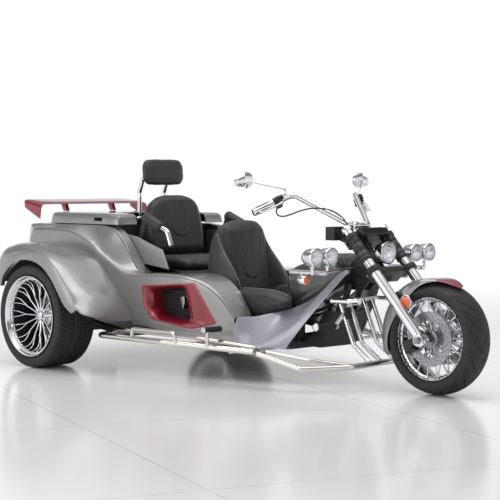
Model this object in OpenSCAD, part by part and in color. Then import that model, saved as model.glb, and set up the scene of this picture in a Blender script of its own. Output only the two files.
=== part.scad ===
// Motorised trike: two wide wheels behind, one steered wheel on a long raked fork in front.
// Millimetres. X runs forwards, Y to the rider's left, Z up, and Z = 0 is the ground.
// Every piece is drawn with X = 0 at the rear axle. place() then centres the whole length on X = 0.
// side is -1 on the rider's right and +1 on the rider's left.

/* [Stance] */
// Distance between the rear and front axles
wheelbase = 2500; // [2380:10:2700]
// Distance between the middles of the rear tyres
rear_track = 1563; // [1543:1:1603]
// Angle of the fork from the vertical, in degrees
rake = 43; // [40:0.5:45]

/* [Rear wheels] */
// Outside diameter of a rear tyre
rear_tyre_d = 642; // [560:1:660]
// Width of a rear tyre
rear_tyre_w = 285; // [235:1:305]
// Diameter of the bright ring round a rear rim
rear_flange_d = 500; // [470:1:510]
// Diameter of the rear rim's bead seat
rear_bead_d = 458; // [440:1:460]
// Depth of the hub behind the rear tyre's outer face
rear_dish = 92; // [60:1:110]
// Number of rear spokes
rear_spokes = 15; // [8:1:20]

/* [Front wheel] */
// Outside diameter of the front tyre
front_tyre_d = 614; // [560:1:630]
// Width of the front tyre
front_tyre_w = 200; // [150:1:210]
// Diameter of the front rim's flanges
front_flange_d = 448; // [440:1:460]
// Diameter of the front rim's bead seat
front_bead_d = 430; // [420:1:436]
// Width of the front rim
front_rim_w = 150; // [110:1:156]
// Number of front spokes
front_spokes = 18; // [10:1:22]
// Diameter of a front brake disc
front_disc_d = 300; // [260:1:320]
// Diameter of the front axle
axle_d = 25; // [20:1:30]

/* [Fork] */
// Distance between the middles of the fork legs
fork_gap = 300; // [290:1:340]
// Diameter of a fork leg
leg_d = 58; // [46:1:60]
// Diameter of a fork leg inside its cover
upper_leg_d = 50; // [40:1:52]
// Outside diameter of a fork cover
cover_d = 70; // [60:1:74]
// Length of a fork leg above the axle
leg_l = 802; // [780:1:860]
// Distance of the steering axis behind the legs
fork_offset = 70; // [66:1:80]
// Diameter of the steering stem
stem_d = 48; // [40:1:50]
// Outside diameter of the steering head
head_d = 72; // [66:1:74]

/* [Body] */
// Thickness of the body's moulded panels
skin = 8; // [5:1:10]
// Half of the body's width at its shoulders
shoulder_half = 560; // [540:1:580]
// Half of the body's width over the wheel arches
fender_half = 930; // [925:1:950]
// Gap between a rear tyre and its wheel arch
arch_gap = 27; // [20:1:40]
// Width of the flared band round a wheel arch
flare_w = 62; // [40:1:80]
// Height of the deck that the lid closes on
deck_z = 880; // [860:1:890]
// Height of the lid above the deck
lid_h = 76; // [60:1:90]
// Gap under the edge of the lid
lid_gap = 5; // [4:1:8]

/* [Spoiler] */
// Width of the spoiler over its end plates
spoiler_w = 920; // [800:10:960]
// Distance of the spoiler's back edge behind the rear axle
spoiler_tail = 700; // [690:1:730]
// Thickness of the spoiler's end plates
plate_t = 12; // [8:1:16]

/* [Tubes] */
// Diameter of the bright side bars
side_bar_d = 34; // [28:1:38]
// Diameter of the handlebar
handlebar_d = 32; // [25:1:34]
// Width and height of the frame's side rails
rail_w = 50; // [40:1:55]

/* [Lamps] */
// Diameter of the headlight
headlight_d = 128; // [110:1:134]
// Diameter of a spot lamp
spot_d = 104; // [80:1:108]

/* [Hidden] */
$fn = 48;

running = 0.05;         // radial clearance of a shaft that turns in a bore
seat_gap = 0.3;         // clearance between pieces that only touch
turn_gap = 6;           // clearance beside pieces that turn
rear_r = rear_tyre_d / 2;
front_r = front_tyre_d / 2;
tyre_wall = 14;
middle_x = (wheelbase + front_r - spoiler_tail) / 2;
rear_out = (rear_track + rear_tyre_w) / 2;      // outer face of the rear tyres
arch_r = rear_r + arch_gap;
crest_r = arch_r + flare_w;
rail_y = 185;           // middle of each side rail
rail_z = 210;
rail_out = rail_y + rail_w / 2;
rail_top = rail_z + rail_w / 2;
engine_x = 330;         // half length of the engine block
engine_y = 250;         // half width of the engine block
engine_top = 590;
spindle_r = 30;
rear_hub_out = rear_out - rear_dish;
rear_hub_l = 90;
rear_hub_in = rear_hub_out - rear_hub_l;
rear_rim_half = rear_tyre_w / 2 - 24;   // to the inner side of each rear flange
front_rim_half = front_rim_w / 2 - 10;
disc_t = 12;
hub_half = 62;          // half width of the front hub
lug_half = 58 / 2;      // half width of a fork leg's foot, along the axle
lower_clamp = [474, 506];
upper_clamp = [716, 746];
cover_low = 560;
head_x = wheelbase - 500;       // where the nose meets the steering head
lid_z = deck_z + lid_gap;
lid_top = deck_z + lid_h;
hinge_x = -616;
hinge_z = lid_z + 8;
hinge_r = 5;
headrest_x = 205;
fork_y = fork_gap / 2;

function unit(v) = v / norm(v);
function turn(a, b) = acos(max(-1, min(1, a * b)));
function arc(r, from, to, steps, cx = 0, cz = 0) =
    [for (i = [0:steps]) let (a = from + (to - from) * i / steps) [cx + r * cos(a), cz + r * sin(a)]];
// Moves each edge of a clockwise outline inwards by d
function inset(p, d) = let (n = len(p))
    [for (i = [0:n - 1]) let (a = unit(p[i] - p[(i + n - 1) % n]), b = unit(p[(i + 1) % n] - p[i]),
        na = [a[1], -a[0]], nb = [b[1], -b[0]]) p[i] + d * (na + nb) / (1 + na * nb)];

module place() translate([-middle_x, 0, 0]) children();
module both_sides() { children(); mirror([0, 1, 0]) children(); }
// An outline in the XZ plane, standing between two values of Y
module slab(outline, y0, y1) translate([0, y1, 0]) rotate([90, 0, 0]) linear_extrude(y1 - y0) polygon(outline);
module box(low, high) translate(low) cube(high - low);
module rod(a, b, r, r_end = -1) translate(a) rotate([0, turn(unit(b - a), [0, 0, 1]), atan2(b[1] - a[1], b[0] - a[0])])
    cylinder(h = norm(b - a), r1 = r, r2 = r_end < 0 ? r : r_end);
// A bar along Y, centred on x and z
module cross_rod(x, z, y0, y1, r) translate([x, y0, z]) rotate([-90, 0, 0]) cylinder(h = y1 - y0, r = r);
// A path through points, with each corner rounded to the bend's radius
function smooth(p, bend, steps = 4) = let (n = len(p)) [for (i = [0:n - 1])
    if (i == 0 || i == n - 1) p[i]
    else let (d1 = unit(p[i] - p[i - 1]), d2 = unit(p[i + 1] - p[i]), angle = turn(d1, d2),
        c = p[i] + unit(d2 - d1) * bend / cos(angle / 2), u = unit(p[i] - d1 * bend * tan(angle / 2) - c))
        each [for (k = [0:steps]) c + bend * (u * cos(angle * k / steps) + d1 * sin(angle * k / steps))]];
// Carries one sideways direction along a path without twisting it
function carried(way, u, i = 0) = i == len(way) ? [] :
    let (v = unit(u - (u * way[i]) * way[i])) concat([v], carried(way, v, i + 1));
// A round pipe along a path, as rings of corners
module pipe(p, r, sides = 12) {
    n = len(p);
    way = [for (i = [0:n - 1]) unit(p[min(i + 1, n - 1)] - p[max(i - 1, 0)])];
    u = carried(way, abs(way[0][2]) < 0.8 ? [0, 0, 1] : [1, 0, 0]);
    ring = [for (i = [0:n - 1]) let (v = cross(way[i], u[i]))
        for (k = [0:sides - 1]) p[i] + r * (u[i] * cos(k * 360 / sides) - v * sin(k * 360 / sides))];
    walls = [for (i = [0:n - 2]) for (k = [0:sides - 1]) let (a = i * sides + k, b = i * sides + (k + 1) % sides)
        each [[a, b, b + sides], [a, b + sides, a + sides]]];
    polyhedron(ring, concat([[for (k = [sides - 1:-1:0]) k]], walls,
        [[for (k = [0:sides - 1]) (n - 1) * sides + k]]), convexity = 6);
}
module bent_tube(p, r, bend, sides = 12) pipe(smooth(p, bend), r, sides);
// Children drawn along the fork: X forwards off the legs, Z up along them, from the front axle
module on_fork() translate([wheelbase, 0, front_r]) rotate([0, -rake, 0]) children();

// ---- wheels ----
// A tyre's section, hollow inside and stepped back for the rim's flanges, turned about Y
module tyre(outer_r, bead_r, flange_r, width, rim_half, crown) {
    half = width / 2;
    outer = [[bead_r, rim_half], [flange_r + 1, rim_half], [flange_r + 5, half - 5], [(flange_r + outer_r) / 2, half],
        [outer_r - crown, half - 3], [outer_r - crown * 0.35, half * 0.8], [outer_r, half * 0.42]];
    in_half = half - tyre_wall;
    inner = [[bead_r - 1, rim_half - tyre_wall], [flange_r + 10, rim_half - tyre_wall], [flange_r + 14, in_half],
        [outer_r - crown - 6, in_half], [outer_r - tyre_wall, half * 0.4]];
    rotate([90, 0, 0]) rotate_extrude() difference() {
        polygon(concat(outer, [for (i = [len(outer) - 1:-1:0]) [outer[i][0], -outer[i][1]]]));
        polygon(concat(inner, [for (i = [len(inner) - 1:-1:0]) [inner[i][0], -inner[i][1]]]));
    }
}
// A rim's barrel with a flange at each end, turned about Y
module barrel(seat_r, flange_r, rim_half, inner_end, outer_end, wall) rotate([90, 0, 0]) rotate_extrude()
    polygon([[seat_r - wall, inner_end], [flange_r, inner_end], [flange_r, -rim_half - 0.5], [seat_r, -rim_half - 0.5],
        [seat_r, rim_half + 0.5], [flange_r, rim_half + 0.5], [flange_r, outer_end - 2], [flange_r - 3, outer_end],
        [seat_r - 2, outer_end - 5], [seat_r - wall, outer_end - 16]]);
// Rear rim, with its outer face towards +Y
module rear_rim_shape() {
    half = rear_tyre_w / 2;
    seat_r = rear_bead_d / 2;
    hub_out = half - rear_dish;
    hub_in = hub_out - rear_hub_l;
    difference() {
        union() {
            mirror([0, 1, 0]) barrel(seat_r, rear_flange_d / 2, rear_rim_half, -rear_rim_half - 6, half, 9);
            for (i = [0:rear_spokes - 1]) rotate([0, i * 360 / rear_spokes, 0])
                rod([0, hub_out - 14, 52], [0, half - 62, seat_r - 4], 9, 6);
            cross_rod(0, 0, hub_in, hub_out, 72);
        }
        cross_rod(0, 0, hub_in - 1, hub_out - 8, spindle_r + running);
    }
}
module rear_wheel_place(side) place() translate([0, side * rear_track / 2, rear_r])
    rotate([0, 0, side > 0 ? 0 : 180]) children();
module rear_tyre(side) color("#1b1b1c") rear_wheel_place(side)
    tyre(rear_r, rear_bead_d / 2 + seat_gap, rear_flange_d / 2, rear_tyre_w, rear_rim_half, 26);
module rear_rim(side) color("#d8d8da") rear_wheel_place(side) rear_rim_shape();
module rear_disc(side) color("#8f9194") place() translate([0, side * (rear_hub_in - disc_t), rear_r])
    rotate([-90 * side, 0, 0]) difference() {
        cylinder(h = disc_t, r = 140);
        translate([0, 0, -1]) cylinder(h = disc_t + 2, r = spindle_r + running);
    }
module front_tyre() color("#1b1b1c") place() translate([wheelbase, 0, front_r])
    tyre(front_r, front_bead_d / 2 + seat_gap, front_flange_d / 2, front_tyre_w, front_rim_half, 38);
module front_rim() color("#d8d8da") place() translate([wheelbase, 0, front_r]) {
    half = front_rim_w / 2;
    seat_r = front_bead_d / 2;
    difference() {
        union() {
            barrel(seat_r, front_flange_d / 2, front_rim_half, -half, half, 10);
            for (i = [0:front_spokes - 1]) rotate([0, i * 360 / front_spokes, 0])
                rod([0, i % 2 == 0 ? 24 : -24, 30], [0, 0, seat_r - 5], 7, 5);
            cross_rod(0, 0, -hub_half, hub_half, 46);
        }
        cross_rod(0, 0, -hub_half - 1, hub_half + 1, axle_d / 2 + running);
    }
}
disc_in = hub_half + 10;        // inner face of each front disc
module front_discs() color("#b9bbbe") place() translate([wheelbase, 0, front_r]) both_sides() difference() {
    union() {
        cross_rod(0, 0, disc_in, disc_in + 5, front_disc_d / 2);
        cross_rod(0, 0, hub_half, disc_in + 5, 44);
    }
    cross_rod(0, 0, hub_half - 1, disc_in + 6, axle_d / 2 + running);
}

// ---- fork and steering ----
module fork_legs() color("#e4e4e4") place() both_sides() {
    difference() {
        union() {
            on_fork() translate([0, fork_y, -42]) cylinder(h = cover_low - 4 + 42, r = leg_d / 2);
            on_fork() translate([0, fork_y, cover_low - 5]) cylinder(h = leg_l - 20 - cover_low + 5, r = upper_leg_d / 2);
            on_fork() translate([0, fork_y, leg_l - 30]) cylinder(h = 22, r = 33);
            on_fork() translate([0, fork_y, leg_l - 8]) cylinder(h = 8, r1 = 33, r2 = 22);
            on_fork() translate([0, fork_y, 0]) rotate([-90, 0, 0])
                translate([0, 0, -lug_half]) cylinder(h = 2 * lug_half, r = 34);
        }
        on_fork() cross_rod(0, 0, fork_y - 60, fork_y + 60, axle_d / 2 + seat_gap);
    }
}
module fork_covers() color("#6c6c6e") place() both_sides() on_fork() translate([0, fork_y, 0]) difference() {
    union() {
        translate([0, 0, cover_low]) cylinder(h = upper_clamp[0] - seat_gap - cover_low, r = cover_d / 2 - 2);
        for (z = [cover_low, cover_low + 62, upper_clamp[0] - seat_gap - 40])
            translate([0, 0, z]) cylinder(h = 40, r = cover_d / 2);
    }
    translate([0, 0, cover_low - 1]) cylinder(h = 400, r = upper_leg_d / 2 + seat_gap);
}
module clamp_plate(span, boss_r, bore_r) difference() {
    union() {
        translate([-fork_offset - 20, -fork_y, span[0]]) cube([fork_offset + 30, fork_gap, span[1] - span[0]]);
        for (y = [-fork_y, fork_y]) translate([0, y, span[0]]) cylinder(h = span[1] - span[0], r = boss_r);
        translate([-fork_offset, 0, span[0]]) cylinder(h = span[1] - span[0], r = 42);
    }
    for (y = [-fork_y, fork_y]) translate([0, y, span[0] - 1]) cylinder(h = span[1] - span[0] + 2, r = bore_r);
}
riser_t = upper_clamp[1];
module fork_clamps() color("#3a3a3c") place() on_fork() {
    clamp_plate(lower_clamp, leg_d / 2 + 14, leg_d / 2 + seat_gap);
    clamp_plate(upper_clamp, cover_d / 2 + 4, upper_leg_d / 2 + seat_gap);
    translate([-fork_offset, 0, lower_clamp[0]]) cylinder(h = upper_clamp[1] - lower_clamp[0], r = stem_d / 2);
    // cross piece in front of the upper clamp
    translate([10, -fork_y + cover_d / 2 + 4, upper_clamp[0] - 6]) cube([44, fork_gap - cover_d - 8, 50]);
    // arms that hold the headlight
    for (y = [-headlight_d / 2 - 12, headlight_d / 2 + 4])
        translate([4, y, upper_clamp[0] - 70]) cube([26, 8, 70]);
}
module front_axle() color("#9a9a9c") place() translate([wheelbase, 0, front_r]) {
    cross_rod(0, 0, -fork_y - lug_half - 14, fork_y + lug_half + 14, axle_d / 2);
    for (s = [-1, 1]) translate([0, s * (fork_y + lug_half + seat_gap + 6), 0]) rotate([90, 0, 0])
        cylinder(h = 12, r = 20, center = true);
    for (s = [-1, 1]) {
        a = disc_in + 5 + turn_gap;
        b = fork_y - lug_half - seat_gap;
        translate([0, s * (a + b) / 2, 0]) rotate([90, 0, 0]) cylinder(h = b - a, r = 18, center = true);
    }
}
// Handlebar, from the middle to the right-hand end
bar_mid = [wheelbase - 572, 0, 905];
bar_in = [wheelbase - 575, -70, 905];
bar_bend = [wheelbase - 850, -258, 1082];
bar_end = [wheelbase - 961, -470, 978];
grip_way = unit(bar_end - bar_bend);
grip_l = 130;
grip_in = bar_end - grip_way * (grip_l + 4);
function mirror_y(p) = [p[0], -p[1], p[2]];
module handlebar() color("#e4e4e4") place() {
    bent_tube([bar_end, bar_bend, bar_in, mirror_y(bar_in), mirror_y(bar_bend), mirror_y(bar_end)],
        handlebar_d / 2, 58);
    // risers down to the upper clamp
    for (y = [-45, 45]) intersection() {
        rod([bar_mid[0], y, bar_mid[2]], [bar_mid[0] + 40, y, bar_mid[2] - 130], 20);
        on_fork() translate([-400, -200, riser_t]) cube([800, 400, 400]);
    }
}
module hand_controls() color("#232325") place() both_sides() {
    bore = handlebar_d / 2 + seat_gap;
    difference() {
        union() {
            rod(grip_in, bar_end, bore + 4);
            rod(grip_in - grip_way * 46, grip_in - grip_way * seat_gap, 29);
            // lever perch and lever
            lever_root = grip_in - grip_way * 26 + [34, 0, -4];
            rod(grip_in - grip_way * 26, lever_root, 11);
            rod(lever_root, bar_end + [52, 8, 4], 6);
        }
        rod(grip_in - grip_way * 60, bar_end + grip_way * 5, bore);
    }
}
mirror_root = bar_bend + grip_way * 50;
mirror_head = [wheelbase - 1008, -492, 1160];
module mirrors() color("#dcdcde") place() both_sides() {
    knee = mirror_root + [10, -22, 52];
    difference() {
        union() {
            rod(mirror_root, mirror_root + [2, -4, 34], 9);
            bent_tube([mirror_root + [2, -4, 30], knee, mirror_head + [4, 2, 0]], 5, 14, 8);
        }
        rod(bar_bend, bar_end, handlebar_d / 2 + seat_gap);
    }
    // almond-shaped head
    translate(mirror_head) rotate([0, 6, 0]) intersection() {
        translate([-10, 0, -52]) rotate([0, 90, 0]) cylinder(h = 24, r = 92, $fn = 60);
        translate([-10, 0, 52]) rotate([0, 90, 0]) cylinder(h = 24, r = 92, $fn = 60);
    }
}
// Brake hose from the right-hand switch block over to the upper clamp: points chosen by hand
hose_points = [[1602, -338, 1008], [1592, -338, 985], [1602, -333, 964], [1632, -320, 958], [1666, -300, 968],
    [1705, -272, 986], [1745, -240, 1000], [1790, -197, 1004], [1835, -155, 994], [1872, -126, 972],
    [1905, -110, 940], [1930, -108, 905], [1944, -108, 870], [1949, -106, 820]];
hose_r = 4;
module brake_hose() color("#2a2a2c") place()
    pipe([for (p = hose_points) [p[0] + wheelbase - 2500, p[1], p[2]]], hose_r, 8);
module instrument_box() color("#1f1f21") place() {
    box([wheelbase - 706, -145, 822], [wheelbase - 636, -45, 898]);
    // foot on the upper clamp
    difference() {
        rod([wheelbase - 650, -95, 830], [wheelbase - 560, -95, 800], 10);
        on_fork() translate([-400, -200, 0]) cube([800, 400, riser_t + seat_gap]);
    }
}
lamp_z = 757;
lens_x = wheelbase - 349;
module headlight() color("#dcdcde") place() translate([0, 0, lamp_z]) {
    r = headlight_d / 2;
    rod([lens_x - 44, 0, 0], [lens_x - 8, 0, 0], r - 4);
    rod([lens_x - 14, 0, 0], [lens_x, 0, 0], r);
    rod([lens_x - 92, 0, 0], [lens_x - 44, 0, 0], 26, r - 4);
}
fender_in = front_r + 15;
fender_half_w = front_tyre_w / 2 + 12;
fender_t = 6;
fender_from = 60;
fender_to = 200;
module front_fender() color("#77787b") place() translate([wheelbase, 0, front_r]) {
    outline = concat(arc(fender_in + fender_t, fender_from, fender_to, 20), arc(fender_in, fender_to, fender_from, 20));
    skirt = concat(arc(fender_in + fender_t, fender_from + 14, fender_to, 18),
        arc(fender_in - 36, fender_to, fender_from + 40, 14));
    slab(outline, -fender_half_w, fender_half_w);
    for (s = [-1, 1]) slab(skirt, s * fender_half_w - (s > 0 ? fender_t : 0), s * fender_half_w + (s > 0 ? 0 : fender_t));
    // brackets to the fork legs
    for (s = [-1, 1]) rotate([0, -rake, 0]) difference() {
        translate([-18, s * (fender_half_w + 20) - 20, 288]) cube([36, 40, 30]);
        translate([0, s * fork_y, 200]) cylinder(h = 200, r = leg_d / 2 + seat_gap);
        translate([-40, s > 0 ? fork_y - 22 : -fork_y - 60, 200]) cube([80, 82, 200]);
        translate([-40, -fender_half_w + fender_t, 200]) cube([80, 2 * fender_half_w - 2 * fender_t, 200]);
    }
}
module front_calipers() color("#262628") place() translate([wheelbase, 0, front_r]) both_sides() difference() {
    union() {
        // block over the edge of the disc, behind the leg, and its arm to the leg
        rotate([0, -200, 0]) translate([92, disc_in - 10, -34]) cube([74, 46, 68]);
        rotate([0, -rake, 0]) translate([-112, disc_in + 24, 26]) cube([122, fork_y - leg_d / 2 - seat_gap - disc_in - 24, 30]);
    }
    cross_rod(0, 0, disc_in - 4, disc_in + 9, front_disc_d / 2 + 4);
}

// ---- frame and running gear ----
head_low = 512;
gusset_y = 34 + seat_gap;       // outer face of the steering head's plates
head_high = 710;
function on_axis(t, n = 0) = [wheelbase - (fork_offset - n) * cos(rake) - t * sin(rake), 0,
    front_r - (fork_offset - n) * sin(rake) + t * cos(rake)];
module steering_head() color("#1c1c1e") place() difference() {
    union() {
        on_fork() translate([-fork_offset, 0, head_low]) cylinder(h = head_high - head_low, r = head_d / 2);
        // gusset plates back to the frame
        for (y = [-34, 26]) slab([[head_x - 170, 540], [head_x - 110, 690], on_axis(690) * [[1, 0], [0, 0], [0, 1]],
            on_axis(540) * [[1, 0], [0, 0], [0, 1]], [head_x - 20, 540]], y, y + 8);
    }
    on_fork() translate([-fork_offset, 0, head_low - 1]) cylinder(h = 400, r = stem_d / 2 + running);
}
rail_front = head_x - 440;
rail_back = -420;
hitch_y = 80;           // half the spacing of the hitch plate's holes, across
hitch_z = 38;           // and half their spacing upwards
hitch_hole_r = 6.5;
module frame() color("#1c1c1e") place() {
    for (s = [-1, 1]) box([rail_back, s * rail_y - rail_w / 2, rail_z - rail_w / 2],
        [rail_front, s * rail_y + rail_w / 2, rail_top]);
    for (x = [rail_back, 570, 1000, rail_front - 40])
        box([x, -rail_y, rail_z - rail_w / 2], [x + 40, rail_y, rail_top]);
    // uprights under the luggage floor
    for (s = [-1, 1]) box([rail_back + 10, s * (rail_y - 10) - 20, rail_top - 1],
        [rail_back + 50, s * (rail_y - 10) + 20, luggage_floor - skin - seat_gap]);
    // hitch plate with its four holes
    difference() {
        box([rail_back - 8, -hitch_y - 30, rail_z - hitch_z - 22], [rail_back, hitch_y + 30, rail_z + hitch_z + 22]);
        for (y = [-hitch_y, hitch_y], z = [rail_z - hitch_z, rail_z + hitch_z]) translate([rail_back - 9, y, z])
            rotate([0, 90, 0]) cylinder(h = 10, r = hitch_hole_r);
    }
    // post under the driver's seat
    box([1240, -rail_y - 20, rail_top - 1], [1296, rail_y + 20, 350 - seat_gap]);
    both_sides() {
        // lower tubes up to the steering head
        bent_tube([[rail_front - 20, 80, 222], [head_x - 225, 76, 330], [head_x - 122, gusset_y + 16, 520],
            [head_x - 96, gusset_y + 16, 580]], 16, 60);
        // upper tubes
        bent_tube([[rail_front - 20, 110, 225], [rail_front + 50, 92, 420], [head_x - 150, gusset_y + 14, 628],
            [head_x - 100, gusset_y + 14, 655]], 14, 50);
    }
}
module engine() color("#3c3d40") place() box([-engine_x, -engine_y, rail_top], [engine_x, engine_y, engine_top]);
module rear_axle() color("#2a2a2c") place() both_sides() {
    carrier_in = 566;
    cross_rod(0, rear_r, engine_y, carrier_in + 4, 26);
    cross_rod(0, rear_r, carrier_in, rear_hub_in - disc_t - turn_gap, 58);
    cross_rod(0, rear_r, rear_hub_in - disc_t - turn_gap - 1, rear_hub_out - 12, spindle_r);
    // trailing arm and its pivot on the rail
    difference() {
        rod([430, 500, rail_z + 10], [20, 590, rear_r - 20], 24);
        cross_rod(0, rear_r, 0, 566, 20);
    }
    cross_rod(430, rail_z + 10, rail_out, 512, 22);
}
module exhausts() color("#c9c9cc") place() both_sides() {
    rod([-640, 350, 335], [-250, 350, 335], 56);
    difference() {
        rod([-668, 350, 335], [-638, 350, 335], 34);
        rod([-669, 350, 335], [-646, 350, 335], 30);
    }
    cross_rod(-270, 335, engine_y, 300, 22);
}

// ---- body ----
shoulder = [[-600, 500], [-648, 600], [-648, 740], [-600, 840], [-560, deck_z - 20], [-214, 861], [-37, 849],
    [118, 800], [252, 721], [384, 654], [513, 600], [700, 606], [1000, 610], [1180, 560], [1300, 450], [1340, 370],
    [1340, 215], [490, 295], [480, 420]];
deck = [[-600, 500], [-648, 600], [-648, 760], [-622, deck_z], [200, deck_z], [305, 848], [403, 754], [483, 654],
    [563, 592], [700, 606], [1000, 610], [1180, 560], [1300, 450], [1340, 370], [1340, 215], [490, 295], [480, 420]];
deck_half = 470;
pod_x = 1340;           // seam between the body and the nose
pod_half = 430;         // half width there
seat_half = 290;        // half width of the wells for both seats
lid_well = 400;         // half width of the luggage opening
lid_well_x = [-560, 40];
tank_half = 148;        // half width of the tank cover
seat_wall_x = 196;      // wall behind the passenger
luggage_floor = 640;
seat_floor = 605;         // floor under the passenger's seat
shelf_x = 66;            // shelf between the lid and the passenger's back
shelf_top = deck_z + 40;
intake = [[668, 528], [1110, 562], [1232, 330], [1090, 296], [760, 330], [690, 400]];
module plan_cut(d = 0) linear_extrude(1200) polygon([[-700, shoulder_half - d],
    [1060, shoulder_half - d], [pod_x, pod_half - d], [pod_x, d - pod_half], [1060, d - shoulder_half],
    [-700, d - shoulder_half]]);
module tub() difference() {
    intersection() {
        union() {
            slab(shoulder, -shoulder_half, shoulder_half);
            slab(deck, -deck_half, deck_half);
        }
        plan_cut();
    }
    // hollow inside
    intersection() {
        union() {
            slab(inset(shoulder, skin), skin - shoulder_half, shoulder_half - skin);
            slab(inset(deck, skin), skin - deck_half, deck_half - skin);
        }
        plan_cut(skin);
    }
}
module rear_body() color("#8b8a88") place() {
    difference() {
        tub();
        // luggage opening
        box([lid_well_x[0], -lid_well, deck_z - 40], [lid_well_x[1], lid_well, deck_z + 10]);
        // well for the passenger's seat
        box([seat_wall_x, -seat_half - 110, 597], [900, seat_half + 110, 1000]);
        // well for the driver's seat
        slab([[842, 700], [1300, 700], [pod_x + 1, 500], [pod_x + 1, 340], [1250, 340], [1020, 400], [842, 560]],
            -seat_half, seat_half);
        // open below, for the engine and the frame
        box([-560, -shoulder_half + skin, 0], [480, shoulder_half - skin, 520]);
        box([400, -shoulder_half + 60, 0], [pod_x + 1, shoulder_half - 60, 300]);
        box([pod_x - 20, -pod_half + 30, 190], [pod_x + 1, pod_half - 30, 340]);
        for (s = [-1, 1]) slab(intake, s > 0 ? 440 : -700, s > 0 ? 700 : -440);
        // way through for the axle
        box([-80, -700, 0], [640, 700, 420]);
    }
    // floor of the luggage space and the wall behind the passenger
    box([-640 + skin / 2, -shoulder_half + skin - 1, luggage_floor - skin], [seat_wall_x, shoulder_half - skin + 1, luggage_floor]);
    box([seat_wall_x - skin, -seat_half - 110, seat_floor - skin], [seat_wall_x, seat_half + 110, deck_z - 1]);
    difference() {
        box([shelf_x, 20 - seat_half, deck_z - skin], [seat_wall_x, seat_half - 20, shelf_top]);
        box([shelf_x + skin, 20 + skin - seat_half, deck_z - skin - 1],
            [seat_wall_x - skin, seat_half - 20 - skin, shelf_top - skin]);
    }
    // floor under the passenger's seat
    box([seat_wall_x - skin, -seat_half - 110, seat_floor - skin], [846, seat_half + 110, seat_floor]);
    fenders();
    // hinge pins for the lid, each between two ears
    both_sides() {
        for (y = [140, 192]) slab([[-642, 800], [-640, 850], [hinge_x - 9, hinge_z], [hinge_x - 6, hinge_z + 8],
            [hinge_x + 6, hinge_z + 8], [hinge_x + 9, hinge_z], [hinge_x + 9, deck_z - 4], [hinge_x + 9, 840]], y, y + 8);
        cross_rod(hinge_x, hinge_z, 144, 196, hinge_r);
    }
}
module fenders() both_sides() {
    toe = [508, 400];
    crest = concat([[-365, 494]], arc(crest_r, 148, 34, 16, 0, rear_r), [toe, [443, 367], [0, 367]]);
    root = [[-430, 500], [-400, 740], [-160, 762], [15, 746], [236, 681], [384, 553], [497, 437], [520, 330], [0, 330]];
    difference() {
        hull() {
            slab(crest, fender_half - 1, fender_half);
            slab(root, shoulder_half - skin, shoulder_half - skin + 1);
        }
        hull() {
            slab(inset(crest, skin), fender_half - skin - 4, fender_half - skin - 3);
            slab(inset(root, skin), shoulder_half, shoulder_half + 1);
        }
        cross_rod(0, rear_r, shoulder_half, fender_half + 10, arch_r);
        box([-500, shoulder_half + 1, 200], [435, fender_half + 10, 400]);
        box([-700, shoulder_half - 2 * skin, 0], [700, shoulder_half - skin + 0.01, 900]);
        // way through for the axle and its arm
        box([-90, shoulder_half - 2 * skin, 200], [480, shoulder_half + 4, 400]);
    }
}
module intake_frames() color("#a0303c") place() for (s = [-1, 1]) difference() {
    y_out = shoulder_half + 4;
    y_in = shoulder_half - 118;
    slab(inset(intake, seat_gap), s > 0 ? y_in : -y_out, s > 0 ? y_out : -y_in);
    slab([[712, 500], [1040, 520], [1100, 372], [1060, 330], [780, 352], [724, 410]], s > 0 ? y_in + 8 : -y_out - 1,
        s > 0 ? y_out + 1 : -y_in - 8);
}
module seat_side_panels() color("#8f8e8c") place() both_sides() {
    slab([[seat_wall_x + seat_gap, seat_floor + seat_gap], [seat_wall_x + seat_gap, 846], [420, 812], [660, 738],
        [728, seat_floor + seat_gap]], 385, 397);
}
function nose_plan(d) = [[pod_x, pod_half - d], [head_x + 10, 158 - d], [head_x + 10, d - 158], [pod_x, d - pod_half]];
module nose_panels() color("#9a9aa0") place() {
    side = [[pod_x + seat_gap, 216], [pod_x + seat_gap, 360], [1450, 366], [1562, 416], [head_x - 243, 512],
        [head_x - 75, 645], [head_x - 18, 650], [head_x - 360, 207]];
    difference() {
        intersection() {
            slab(side, -500, 500);
            linear_extrude(1000) polygon(nose_plan(0));
        }
        intersection() {
            slab(inset(side, skin), -500, 500);
            linear_extrude(1000) polygon(nose_plan(skin));
        }
        // open in the middle for the tank cover and belly, and open behind and below
        box([pod_x - 1, -tank_half - seat_gap, 100], [head_x + 20, tank_half + seat_gap, 800]);
        box([pod_x - 1, skin - 290, 230], [pod_x + 12, 290 - skin, 350]);
        box([pod_x - 1, -pod_half + skin, 100], [head_x - 400, pod_half - skin - 8, 240]);
    }
}
module tank_cover() color("#6f6c68") place() {
    side = [[1478, 400], [1448, 560], [1462, 648], [head_x - 200, 750], [head_x - 158, 740], [head_x - 78, 638],
        [head_x - 243, 506], [1540, 400]];
    plan_out = [[1430, 110], [1500, tank_half], [head_x - 60, tank_half], [head_x - 60, -tank_half],
        [1500, -tank_half], [1430, -110]];
    difference() {
        intersection() {
            slab(side, -160, 160);
            linear_extrude(1000) polygon(plan_out);
        }
        intersection() {
            slab(inset(side, skin), -160, 160);
            linear_extrude(1000) polygon(inset(plan_out, skin));
        }
        // open below and in front
        box([1500, -140, 390], [head_x - 190, 140, 560]);
        box([head_x - 240, -100, 560], [head_x, 100, 740]);
    }
}
module belly_panel() color("#202022") place() difference() {
    slab([[head_x - 364, 210], [head_x - 202, 420], [head_x - 132, 420], [head_x - 240, 207]], -tank_half, tank_half);
    // open behind and above
    slab([[head_x - 400, 216], [head_x - 400, 430], [head_x - 139, 430], [head_x - 139, 418], [head_x - 244, 214]],
        5 - tank_half, tank_half - 5);
}

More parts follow.
